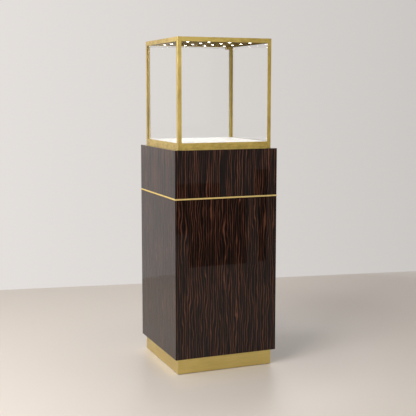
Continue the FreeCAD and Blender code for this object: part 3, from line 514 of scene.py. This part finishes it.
def board_wrap():
    """White wrapped board with a fine pebbled skin."""
    material, tree, shader = new_finish("board_white", Roughness=0.55, Specular_IOR_Level=0.35)
    reads = {"Vector": own_place(tree), "Scale": BOARD_PEBBLES}
    pebbles = put(tree, "ShaderNodeTexVoronoi", reads, feature="SMOOTH_F1").outputs["Distance"]
    marks = use_group(tree, HANDLING, {"Scale": BOARD_SMEARS})
    clean, handled = BOARD_TONES
    feed(
        tree, shader,
        Base_Color=between(tree, marks["Smears"], opaque(clean), opaque(handled)),
        Normal=bumped(tree, pebbles, *BOARD_RELIEF),
    )
    return material


def laminate(name, colour, scale):
    """Board faced with a plain printed grain, used where customers don't look."""
    material, tree, shader = new_finish(name)
    grain = stretched(tree, own_place(tree), scale)
    grain = noise(tree, grain, 1.0, detail=4.0, roughness=0.6)
    shade = toned(colour, LAMINATE_GRAIN_TONE)
    feed(
        tree, shader,
        Base_Color=between(tree, grain, opaque(shade), opaque(colour)),
        Roughness=remapped(tree, grain, *GRAIN_WINDOW, *LAMINATE_GLOSS),
        Normal=bumped(tree, grain, *LAMINATE_RELIEF),
    )
    return material


# Each leaf of veneer has a number of its own, so that no two show the same figure
EBONY_CABINET = ebony("ebony_cabinet", 3.1, CABINET_FIGURE, wrapped=True)
EBONY_DOOR = ebony("ebony_door", 17.4, CABINET_FIGURE)
EBONY_BAND = ebony("ebony_band", 8.6, BAND_FIGURE, wrapped=True)
EBONY_DRAWER = ebony("ebony_drawer", 23.9, BAND_FIGURE)
EBONY_TOP = ebony("ebony_top", 31.2, TOP_FIGURE, lying=True)
GOLD_UPRIGHT = brushed("gold_upright", UPRIGHT, BAR_TONES, patch=26.0, mottle=0.6, haze=0.32)
GOLD_LEVEL = brushed("gold_level", LEVEL, BAR_TONES, patch=30.0, mottle=0.7, haze=0.26)
GOLD_PLINTH = brushed("gold_plinth", LEVEL, PLINTH_TONES)
GOLD_COVER = brushed("gold_cover", FRONT_TO_BACK)
GOLD_TRIM = brushed("gold_trim", LEVEL, TRIM_TONES, (0.58, 0.70), coat=0.0)
GOLD_HARDWARE = brushed("gold_hardware", SATIN_SPECKS, gloss=(0.24, 0.34))
BRONZE = even(
    "bronze_ceiling", (0.250, 0.165, 0.024), 0.55, (0.55, 0.68), scale=16.0,
    Specular_IOR_Level=0.02,
)
PLUG_STEEL = brushed("plug_steel", UPRIGHT, PLUG_TONES, (0.16, 0.26), coat=0.0)
ZINC_STEEL = brushed("zinc_steel", LEVEL, ZINC_TONES, (0.30, 0.45), coat=0.0)
GLASS_CLEAR = clear("glass_clear", (0.995, 0.999, 0.997), ior=1.20)
GLASS_EDGE = even("glass_edge", (0.56, 0.66, 0.62), 0.10, (0.22, 0.34), scale=40.0)
ACRYLIC_CLEAR = clear("acrylic_clear", (0.95, 0.97, 0.97), ior=1.30, roughness=0.04)
LENS_LIT = lit_lens()
BOARD_WHITE = board_wrap()
CARCASS_DARK = laminate("carcass_dark", (0.030, 0.023, 0.019), (60.0, 4.0, 60.0))
DRAWER_BIRCH = laminate("drawer_birch", (0.52, 0.38, 0.23), (14.0, 3.0, 160.0))
PRINT_WHITE = even("board_white_print", (0.80, 0.80, 0.77), 0.06, (0.35, 0.5))
DRIVER_WHITE = even("driver_white", (0.74, 0.74, 0.72), 0.08, (0.38, 0.55))
MOULDED_BLACK = even("moulded_black", (0.025, 0.025, 0.025), 0.25, (0.45, 0.62))
MOULDED_BROWN = even("moulded_brown", (0.050, 0.032, 0.024), 0.20, (0.40, 0.55))
NYLON = even("nylon_natural", (0.72, 0.70, 0.64), 0.08, (0.40, 0.55))
SHEATH_BLACK = even("sheath_black", (0.030, 0.030, 0.032), 0.2, (0.5, 0.65))

FINISHES = {
    EBONY_CABINET: ["cabinet_front_panel", "cabinet_left_panel", "cabinet_right_panel"],
    EBONY_DOOR: ["storage_door"],
    EBONY_BAND: ["band_front_panel", "band_left_panel", "band_right_panel"],
    EBONY_DRAWER: ["drawer_front"],
    EBONY_TOP: ["band_top"],
    GOLD_UPRIGHT: ["front_posts", "rear_posts"],
    GOLD_LEVEL: ["base_rails", "top_rails", "top_rail_rear", "rear_sill"],
    GOLD_PLINTH: ["plinth_skirt"],
    GOLD_COVER: ["top_cover"],
    GOLD_TRIM: ["trim_strips"],
    GOLD_HARDWARE: [
        "storage_pull", "drawer_pull", "storage_lock_body", "drawer_lock_body", "glass_lock_body",
        "storage_hinge_frame_leaves", "storage_hinge_door_leaves",
        "door_clamps", "door_strike", "door_grip",
    ],
    BRONZE: ["ceiling_pan"],
    PLUG_STEEL: [
        "storage_lock_plug", "drawer_lock_plug", "glass_lock_plug", "storage_hinge_pins",
    ],
    ZINC_STEEL: [
        "slide_outer_members", "slide_middle_members", "slide_inner_members", "shelf_pins",
    ],
    GLASS_CLEAR: ["glass_front", "glass_left", "glass_right", "glass_door"],
    ACRYLIC_CLEAR: ["door_stops"],
    LENS_LIT: ["led_lenses"],
    BOARD_WHITE: ["display_board"],
    CARCASS_DARK: [
        "plinth_core", "cabinet_bottom", "cabinet_top", "storage_shelf",
        "trim_spacer", "band_floor",
    ],
    DRAWER_BIRCH: ["drawer_box", "drawer_bottom"],
    PRINT_WHITE: ["led_boards"],
    DRIVER_WHITE: ["led_driver"],
    MOULDED_BLACK: ["floor_glides", "cable_gland", "cable_clips"],
    NYLON: ["pivot_bushes"],
    SHEATH_BLACK: ["led_cable"],
}

for finish, nodes in FINISHES.items():
    for node in nodes:
        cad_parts[node].material_slots[0].material = finish


def add_object(name, data):
    piece = bpy.data.objects.new(name, data)
    bpy.context.scene.collection.objects.link(piece)
    return piece


def mesh_of(name, shape):
    """The shape as a mesh with its faces turned outwards."""
    bmesh.ops.recalc_face_normals(shape, faces=shape.faces)
    mesh = bpy.data.meshes.new(name)
    shape.to_mesh(mesh)
    shape.free()
    return mesh


def bridge(shape, ring, following):
    """Band of faces between two closed rings. A ring may be one point that is named many times."""
    count = len(ring)
    for i in range(count):
        after = (i + 1) % count
        corners = [ring[i], ring[after], following[after], following[i]]
        corners = list(dict.fromkeys(corners))
        if len(corners) > 2:
            shape.faces.new(corners)


def lathed(name, profile, steps=24):
    """Ring or disc turned about Z from a closed loop of (radius, height) points. It faces +Z."""
    shape = bmesh.new()
    turns = [2.0 * math.pi * i / steps for i in range(steps)]
    rings = []
    for radius, height in profile:
        if radius == 0.0:
            rings.append([shape.verts.new((0.0, 0.0, height))] * steps)
            continue
        places = [(radius * math.cos(a), radius * math.sin(a), height) for a in turns]
        rings.append([shape.verts.new(place) for place in places])
    for ring, following in zip(rings, rings[1:] + rings[:1]):
        bridge(shape, ring, following)
    return add_object(name, mesh_of(name, shape))


def cross_head(name, radius, height, recess):
    """Screw head with a cross recess. It faces +Z and stands on z = 0."""
    arm, half = 0.62 * radius, 0.17 * radius
    recess_taper, crown, shoulder = 0.8, 0.80 * radius, 0.45 * height
    cross = [
        (arm, -half), (arm, half), (half, half), (half, arm), (-half, arm), (-half, half),
        (-arm, half), (-arm, -half), (-half, -half), (-half, -arm), (half, -arm), (half, -half),
    ]
    angles = [math.atan2(y, x) for x, y in cross]
    shape = bmesh.new()

    def ring(places, z):
        return [shape.verts.new((x, y, z)) for x, y in places]

    def round_ring(r, z):
        return ring([(r * math.cos(a), r * math.sin(a)) for a in angles], z)

    floor = ring([(recess_taper * x, recess_taper * y) for x, y in cross], height - recess)
    loops = [
        floor, ring(cross, height), round_ring(crown, height),
        round_ring(radius, shoulder), round_ring(radius, 0.0),
    ]
    for inner, outer in zip(loops, loops[1:]):
        bridge(shape, inner, outer)
    shape.faces.new(floor)
    shape.faces.new(loops[-1])
    return add_object(name, mesh_of(name, shape))


def rounded_bar(name, size, radius):
    """Bar with rounded edges that stands on z = 0, with its middle on the Z axis."""
    shape = bmesh.new()
    bmesh.ops.create_cube(shape, size=1.0)
    bmesh.ops.transform(shape, matrix=Matrix.Diagonal((*size, 1.0)), verts=shape.verts)
    bmesh.ops.translate(shape, vec=(0.0, 0.0, size[2] / 2), verts=shape.verts)
    bmesh.ops.bevel(
        shape, geom=shape.edges[:], offset=radius, segments=2, profile=0.5, affect="EDGES"
    )
    return add_object(name, mesh_of(name, shape))


def new_node_tree(name, inputs):
    """Geometry tree with named inputs. Returns the tree, its inputs and their identifiers."""
    tree = bpy.data.node_groups.new(name, "GeometryNodeTree")
    names = {}
    for label, kind in inputs.items():
        socket = tree.interface.new_socket(label, in_out="INPUT", socket_type="NodeSocket" + kind)
        names[label] = socket.identifier
    tree.interface.new_socket("Geometry", in_out="OUTPUT", socket_type="NodeSocketGeometry")
    return tree, tree.nodes.new("NodeGroupInput").outputs, names


def end_tree(tree, instances, finish):
    solid = put(tree, "GeometryNodeRealizeInstances", {"Geometry": instances}).outputs["Geometry"]
    dressed = put(tree, "GeometryNodeSetMaterial", {"Geometry": solid, "Material": finish})
    end = tree.nodes.new("NodeGroupOutput")
    tree.links.new(dressed.outputs["Geometry"], end.inputs["Geometry"])


def make_heads_tree():
    """Puts a copy of Head on every point, turned to face the way the point's attribute says."""
    tree, given, names = new_node_tree(
        "heads_on_points", {"Points": "Geometry", "Head": "Object", "Finish": "Material"}
    )
    head = put(tree, "GeometryNodeObjectInfo", {"Object": given["Head"]}).outputs["Geometry"]
    facing = put(
        tree, "GeometryNodeInputNamedAttribute", {"Name": "facing"}, data_type="FLOAT_VECTOR"
    )
    turn = put(
        tree, "FunctionNodeAlignRotationToVector", {"Vector": facing.outputs["Attribute"]}, axis="Z"
    )
    reads = {"Points": given["Points"], "Instance": head, "Rotation": turn.outputs["Rotation"]}
    copies = put(tree, "GeometryNodeInstanceOnPoints", reads)
    end_tree(tree, copies.outputs["Instances"], given["Finish"])
    return tree, names


def make_grid_tree():
    """Puts a copy of Piece on every point of a level grid round the origin."""
    tree, given, names = new_node_tree(
        "pieces_on_grid",
        {
            "Geometry": "Geometry", "Piece": "Object", "Columns": "Int", "Rows": "Int",
            "Width": "Float", "Depth": "Float", "Finish": "Material",
        },
    )
    piece = put(tree, "GeometryNodeObjectInfo", {"Object": given["Piece"]}).outputs["Geometry"]
    reads = {
        "Size X": given["Width"], "Vertices X": given["Columns"],
        "Size Y": given["Depth"], "Vertices Y": given["Rows"],
    }
    grid = put(tree, "GeometryNodeMeshGrid", reads).outputs["Mesh"]
    copies = put(tree, "GeometryNodeInstanceOnPoints", {"Points": grid, "Instance": piece})
    end_tree(tree, copies.outputs["Instances"], given["Finish"])
    return tree, names


HEADS_TREE = make_heads_tree()
GRID_TREE = make_grid_tree()


def grown(name, carrier, tree_and_names, values):
    """Plain mesh that the tree makes on the carrier mesh with these values."""
    tree, names = tree_and_names
    holder = add_object(name + "_carrier", carrier)
    modifier = holder.modifiers.new("grow", "NODES")
    modifier.node_group = tree
    for label, value in values.items():
        modifier[names[label]] = value
    evaluated = holder.evaluated_get(bpy.context.evaluated_depsgraph_get())
    mesh = bpy.data.meshes.new_from_object(evaluated)
    mesh.name = name
    holder.modifiers.remove(modifier)
    bpy.data.objects.remove(holder)
    bpy.data.meshes.remove(carrier)
    return mesh


def fit_out(name, mesh, body):
    """The mesh as a finished piece that moves with a body."""
    for face in mesh.polygons:
        face.use_smooth = False
    piece = add_object(name, mesh)
    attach(piece, body)


def heads_at(name, head, spots, finish, body):
    """Copies of head, one at each (place, facing) spot."""
    carrier = bpy.data.meshes.new(name + "_spots")
    carrier.from_pydata([place for place, _ in spots], [], [])
    facing = carrier.attributes.new("facing", "FLOAT_VECTOR", "POINT")
    for item, (_, way) in zip(facing.data, spots):
        item.vector = way
    mesh = grown(name, carrier, HEADS_TREE, {"Head": head, "Finish": finish})
    bpy.data.objects.remove(head)
    fit_out(name, mesh, body)


def grid_of(name, unit, columns, rows, size, finish):
    """Mesh with copies of unit on a grid of columns by rows, as wide and deep as size."""
    carrier = bpy.data.meshes.new(name + "_start")
    values = {
        "Piece": unit, "Columns": columns, "Rows": rows,
        "Width": size[0], "Depth": size[1], "Finish": finish,
    }
    mesh = grown(name, carrier, GRID_TREE, values)
    bpy.data.objects.remove(unit)
    return mesh


def make_led_bezels():
    """Turned rings round the sixteen lenses."""
    low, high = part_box("led_lenses")
    pan_low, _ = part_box("ceiling_pan")
    lens_radius, spots_a_side = 0.0070, 4
    span = (high.x - low.x - 2 * lens_radius, high.y - low.y - 2 * lens_radius)
    profile = [
        (0.0073, 0.0), (0.0073, -0.0003), (0.0080, -0.0006), (0.0088, -0.0005), (0.0092, 0.0),
    ]
    ring = lathed("bezel", profile)
    mesh = grid_of("led_bezels", ring, spots_a_side, spots_a_side, span, BRONZE)
    place = ((low.x + high.x) / 2, (low.y + high.y) / 2, pan_low.z)
    mesh.transform(Matrix.Translation(place))
    fit_out("led_bezels", mesh, "case")


def make_pin_sleeves():
    """Sleeves on both side panels for other shelf heights, with their holes in painted shade."""
    shelf_low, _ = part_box("storage_shelf")
    pins_low, pins_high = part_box("shelf_pins")
    panel_x, pin_radius, pitch, steps = 0.207, 0.005, 0.032, 16
    rows = (pins_low.y + pin_radius, pins_high.y - pin_radius)
    pin_z = shelf_low.z - pin_radius
    levels = [pin_z + pitch * i for i in (-4, -3, -2, -1, 1, 2, 3, 4)]
    spots = [
        ((side * panel_x, y, z), inward)
        for side, inward in ((-1, TO_RIGHT), (1, TO_LEFT)) for y in rows for z in levels
    ]
    rim = [(0.0025, 0.0), (0.0025, 0.0003), (0.0030, 0.0006), (0.0039, 0.0005), (0.0044, 0.0)]
    sleeve = lathed("sleeve", rim, steps)
    heads_at("pin_sleeves", sleeve, spots, ZINC_STEEL, "case")
    # The dark of each pin hole is painted shade: a black disc inside the sleeve.
    bore = lathed("bore", [(0.0, 0.0), (0.0025, 0.0), (0.0025, 0.0002), (0.0, 0.0001)], steps)
    heads_at("pin_bores", bore, spots, MOULDED_BLACK, "case")


def make_fitting_caps():
    """Press-in caps over the fittings that hold the cabinet's boards together."""
    _, floor_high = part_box("cabinet_bottom")
    top_low, top_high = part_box("cabinet_top")
    inset, rows = 0.034, (-0.125, 0.120)
    spots = []
    for side in (-1, 1):
        for y in rows:
            spots.append(((side * (floor_high.x - inset), y, floor_high.z), UP))
            spots.append(((side * (top_high.x - inset), y, top_low.z), DOWN))
    dome = [(0.0, 0.0), (0.0088, 0.0), (0.0086, 0.0008), (0.0070, 0.0014), (0.0, 0.0016)]
    cap = lathed("cap", dome)
    heads_at("fitting_caps", cap, spots, MOULDED_BROWN, "case")


def make_driver_fittings():
    """Screws in the driver's ears, cooling ribs on its face, and a boot where its cable leaves."""
    low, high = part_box("led_driver")
    height = high.z - low.z

    ear, ear_thickness = 0.007, 0.002
    screw_y, screw_z = low.y + ear_thickness, low.z + height / 4
    spots = [((x, screw_y, screw_z), TO_REAR) for x in (low.x + ear, high.x - ear)]
    screw = cross_head("driver_screw", radius=0.0040, height=0.0020, recess=0.0011)
    heads_at("driver_screws", screw, spots, ZINC_STEEL, "case")

    rib_count, rib_run, ribs_x = 16, 0.084, -0.018
    rib = rounded_bar("rib", (0.0020, 0.0280, 0.0010), radius=0.0004)
    mesh = grid_of("driver_ribs", rib, rib_count, 1, (rib_run, 0.0), DRIVER_WHITE)
    face = Matrix.Translation((ribs_x, high.y, (low.z + high.z) / 2))
    mesh.transform(face @ Matrix.Rotation(math.radians(-90.0), 4, "X"))
    fit_out("driver_ribs", mesh, "case")

    profile = [
        (0.0018, 0.0), (0.0046, 0.0), (0.0046, 0.0020), (0.0036, 0.0030), (0.0034, 0.0050),
        (0.0040, 0.0056), (0.0032, 0.0066), (0.0030, 0.0090), (0.0025, 0.0120), (0.0018, 0.0120),
    ]
    lead_inset, lead_y, lead_z = 0.014, -0.192, low.z + 0.75 * height
    leads = [((high.x - lead_inset, lead_y, lead_z), TO_RIGHT)]
    heads_at("driver_boot", lathed("boot", profile), leads, MOULDED_BLACK, "case")


def make_hinge_screws():
    """Flush screws in both leaves of the storage door's hinges."""
    low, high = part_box("storage_hinge_frame_leaves")
    leaf_length, frame_x, door_x = 0.064, 0.2058, 0.2052
    holes = ((0.0100, 0.0050), (0.0320, 0.0115), (0.0540, 0.0050))
    places = [
        (low.y + depth, start + rise)
        for start in (low.z, high.z - leaf_length) for rise, depth in holes
    ]
    for name, x, facing, body in (
        ("hinge_screws_frame", frame_x, TO_LEFT, "case"),
        ("hinge_screws_door", door_x, TO_RIGHT, "storage_door"),
    ):
        spots = [((x, y, z), facing) for y, z in places]
        screw = cross_head("leaf_screw", radius=0.0026, height=0.00022, recess=0.00018)
        heads_at(name, screw, spots, GOLD_HARDWARE, body)


def make_glass_door_screws():
    """Small screws that tighten the pivot clamps and the strike on the glass."""
    low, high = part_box("door_clamps")
    grip_low, grip_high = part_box("door_grip")
    glass_low, glass_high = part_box("glass_door")
    edge, clamp_inset, grip_inset = 0.003, 0.004, 0.006
    plate_y, plate_z = grip_low.y + 0.002, grip_low.z + 0.0035
    places = [
        (x, high.y, z)
        for z in (glass_low.z + edge, glass_high.z - edge)
        for x in (low.x + clamp_inset, high.x - clamp_inset)
    ]
    places += [(x, plate_y, plate_z) for x in (grip_low.x + grip_inset, grip_high.x - grip_inset)]
    spots = [(place, TO_REAR) for place in places]
    screw = cross_head("clamp_screw", radius=0.0019, height=0.0009, recess=0.0006)
    heads_at("glass_door_screws", screw, spots, PLUG_STEEL, "glass_door")


def make_glass_edges():
    """Ground edges at the sides and top of the glass door, with a slim arris along each."""
    low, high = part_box("glass_door")
    middle_y = (low.y + high.y) / 2
    half = (high.y - low.y) / 2
    arris, lip, skin = 0.0007, 0.00025, 0.00015
    section = [
        (-half - lip, arris), (-half + arris, -lip), (half - arris, -lip), (half + lip, arris),
        (half - skin, arris), (half - arris, skin), (-half + arris, skin), (-half + skin, arris),
    ]
    corners = ((high.x, low.z, 0), (high.x, high.z, 1), (low.x, high.z, 1), (low.x, low.z, 0))
    shape = bmesh.new()
    stations = []
    for side, edge_z, mitred in corners:
        inward = -1.0 if side > 0 else 1.0
        stations.append([
            shape.verts.new((side + inward * depth, middle_y + across, edge_z - mitred * depth))
            for across, depth in section
        ])
    for before, after in zip(stations, stations[1:]):
        bridge(shape, before, after)
    shape.faces.new(stations[0])
    shape.faces.new(reversed(stations[-1]))
    mesh = mesh_of("glass_door_edges", shape)
    mesh.materials.append(GLASS_EDGE)
    fit_out("glass_door_edges", mesh, "glass_door")


def make_bumpers():
    """Clear bumpers that the storage door and the drawer front close against."""
    dome = [(0.0, 0.0), (0.0045, 0.0), (0.0043, 0.0004), (0.0032, 0.0008), (0.0, 0.0009)]
    inset, storage_levels, drawer_level = 0.012, (0.075, 0.716), 0.7375
    door_low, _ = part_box("storage_door")
    front_low, front_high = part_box("drawer_front")
    inner_y = door_low.y
    door_spots = [((door_low.x + inset, inner_y, z), TO_FRONT) for z in storage_levels]
    drawer_spots = [
        ((x, inner_y, drawer_level), TO_FRONT) for x in (front_low.x + inset, front_high.x - inset)
    ]
    for name, spots, body in (
        ("storage_bumpers", door_spots, "storage_door"), ("drawer_bumpers", drawer_spots, "drawer"),
    ):
        heads_at(name, lathed("bumper", dome), spots, ACRYLIC_CLEAR, body)


make_led_bezels()
make_pin_sleeves()
make_fitting_caps()
make_driver_fittings()
make_hinge_screws()
make_glass_door_screws()
make_glass_edges()
make_bumpers()


def lamp(name, place, target, size, power, colour):
    """Soft box at place that faces target. It isn't seen through the panes."""
    light = bpy.data.lights.new(name, "AREA")
    light.shape = "RECTANGLE"
    light.size, light.size_y = size
    light.energy = power
    light.color = colour
    holder = add_object(name, light)
    holder.location = place
    towards = Vector(target) - Vector(place)
    holder.rotation_euler = towards.to_track_quat("-Z", "Y").to_euler()
    holder.visible_transmission = False
    return holder


def make_lights():
    for values in LAMPS:
        lamp(*values)
    low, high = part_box("ceiling_pan")
    middle = (low + high) / 2
    place = (middle.x, middle.y, low.z - GLOW_DROP)
    straight_down = (middle.x, middle.y, 0.0)
    glow = lamp("ceiling_glow", place, straight_down, GLOW_SIZE, GLOW_POWER, GLOW_COLOUR)
    glow.visible_camera = False
    glow.visible_glossy = False


def straight_looks(tree):
    """One for rays that come from the camera, through glass or not, without a bounce on the way."""
    path = put(tree, "ShaderNodeLightPath").outputs
    looked = maths(tree, "MAXIMUM", path["Is Camera Ray"], path["Is Transmission Ray"])
    bounces = maths(tree, "ADD", path["Diffuse Depth"], path["Glossy Depth"])
    return maths(tree, "MULTIPLY", looked, maths(tree, "LESS_THAN", bounces, 0.5))


def in_mirrors(tree, loss):
    """The loss for rays that come by way of a reflection, and zero for others."""
    bounces = put(tree, "ShaderNodeLightPath").outputs["Glossy Depth"]
    return maths(tree, "MULTIPLY", maths(tree, "MINIMUM", bounces, 1.0), loss)


def make_world():
    """Pale surround for what sees it directly, and a softer one with a dim front for lighting."""
    world = bpy.data.worlds.new("studio")
    world.use_nodes = True
    bpy.context.scene.world = world
    tree = world.node_tree
    axes = axes_of(tree, put(tree, "ShaderNodeTexCoord").outputs["Generated"])
    towards_front = maths(tree, "MULTIPLY", axes["Y"], -1.0)
    frontness = remapped(tree, towards_front, *SURROUND_FRONT_REACH)
    steepness = maths(tree, "ABSOLUTE", axes["Z"])
    levelness = remapped(tree, steepness, *SURROUND_FRONT_HEIGHT, 1.0, 0.0)
    dim = maths(tree, "MULTIPLY", frontness, levelness)
    light = between(tree, dim, opaque(SURROUND), opaque(SURROUND_FRONT))
    pale = between(tree, straight_looks(tree), light, opaque(WALL_COLOUR))
    tree.links.new(pale, tree.nodes["Background"].inputs["Color"])


def sheets(name, outlines, material):
    """Flat faces with these corners, as one piece."""
    corners, faces = [], []
    for outline in outlines:
        faces.append(tuple(range(len(corners), len(corners) + len(outline))))
        corners += outline
    mesh = bpy.data.meshes.new(name)
    mesh.from_pydata(corners, [], faces)
    mesh.materials.append(material)
    return add_object(name, mesh)


def make_floor():
    """Pale stone that fades out far from the case, and keeps the shadow of the case."""
    material, tree, shader = new_finish("floor_pale", Specular_IOR_Level=0.5)
    place = own_place(tree)
    grains = noise(tree, place, FLOOR_GRAIN, detail=3.0, roughness=0.6)
    pale = toned(FLOOR_COLOUR, FLOOR_GRAIN_TONE)
    colour = between(tree, grains, opaque(FLOOR_COLOUR), opaque(pale))
    loss = in_mirrors(tree, 1.0 - FLOOR_MIRRORED)
    reach = vector_maths(tree, "LENGTH", {0: place}, "Value")
    dull = remapped(tree, reach, *FLOOR_POLISH, *FLOOR_ROUGHNESS)
    feed(
        tree, shader,
        Base_Color=between(tree, loss, colour, opaque((0.0, 0.0, 0.0))),
        Roughness=maths(tree, "MULTIPLY_ADD", grains, FLOOR_GRAIN_DULLS, dull),
    )
    far = remapped(tree, reach, *FLOOR_FADE)
    fade = maths(tree, "MULTIPLY", far, straight_looks(tree))
    gone = put(tree, "ShaderNodeBsdfTransparent").outputs[0]
    shown_as(tree, fade, shader.outputs[0], gone)
    half = ROOM_SIZE / 2
    outline = [(-half, -half, 0), (half, -half, 0), (half, half, 0), (-half, half, 0)]
    sheets("floor", [outline], material)


def make_wall():
    """Pale wall that shows only from its front, so the case can be looked at from behind."""
    material, tree, shader = new_finish("wall_pale")
    tree.nodes.remove(shader)
    path = put(tree, "ShaderNodeLightPath").outputs
    undiffused = maths(tree, "LESS_THAN", path["Diffuse Depth"], 0.5)
    mirrored = maths(tree, "MULTIPLY", path["Is Glossy Ray"], undiffused)
    seen = maths(tree, "MAXIMUM", straight_looks(tree), mirrored)
    behind = put(tree, "ShaderNodeNewGeometry").outputs["Backfacing"]
    shown = maths(tree, "MULTIPLY", seen, maths(tree, "SUBTRACT", 1.0, behind))

    axes = axes_of(tree, own_place(tree))
    # Painted light across the wall: brighter at the left, fading to painted shade at the right.
    run = remapped(tree, axes["X"], *WALL_SHADE_RUN)
    shade = between(tree, run, opaque(WALL_LIT), opaque(WALL_SHADE))
    low_loss = remapped(tree, axes["Z"], *WALL_MIRROR_RISE, 1.0 - WALL_MIRRORED, 0.0)
    level = maths(tree, "SUBTRACT", 1.0, in_mirrors(tree, low_loss))
    pale = put(tree, "ShaderNodeEmission", {"Color": shade, "Strength": level}).outputs[0]
    gone = put(tree, "ShaderNodeBsdfTransparent").outputs[0]
    shown_as(tree, shown, gone, pale)

    half, top = ROOM_SIZE / 2, WALL_HEIGHT
    outline = [(-half, 0, 0), (half, 0, 0), (half, 0, top), (-half, 0, top)]
    wall = sheets("wall", [outline], material)
    turn = math.radians(WALL_TURN)
    away = Vector((-math.sin(turn), math.cos(turn), 0)) * WALL_DISTANCE
    wall.data.transform(Matrix.Translation(away) @ Matrix.Rotation(turn, 4, "Z"))


def make_flags():
    """Dark flags that only show as reflections in the lacquer of the front."""
    material, _, _ = new_finish("flag_black", Base_Color=opaque(FLAG_COLOUR), Roughness=0.9)
    outlines = [
        [(left, FLAG_Y, low), (right, FLAG_Y, low), (right, FLAG_Y, high), (left, FLAG_Y, high)]
        for left, right, low, high in FLAGS
    ]
    flags = sheets("flags", outlines, material)
    flags.visible_camera = False
    flags.visible_diffuse = False
    flags.visible_transmission = False
    flags.visible_shadow = False


def make_camera():
    data = bpy.data.cameras.new("camera")
    data.lens = CAMERA_LENS
    data.sensor_width = CAMERA_SENSOR
    data.shift_y = CAMERA_SHIFT
    camera = add_object("camera", data)
    camera.location = CAMERA_PLACE
    tilt = math.radians(90.0 - CAMERA_PITCH)
    camera.rotation_euler = (tilt, 0.0, math.radians(-CAMERA_YAW))
    bpy.context.scene.camera = camera


make_lights()
make_world()
make_floor()
make_wall()
make_flags()
make_camera()
bpy.context.scene.view_settings.view_transform = "Standard"
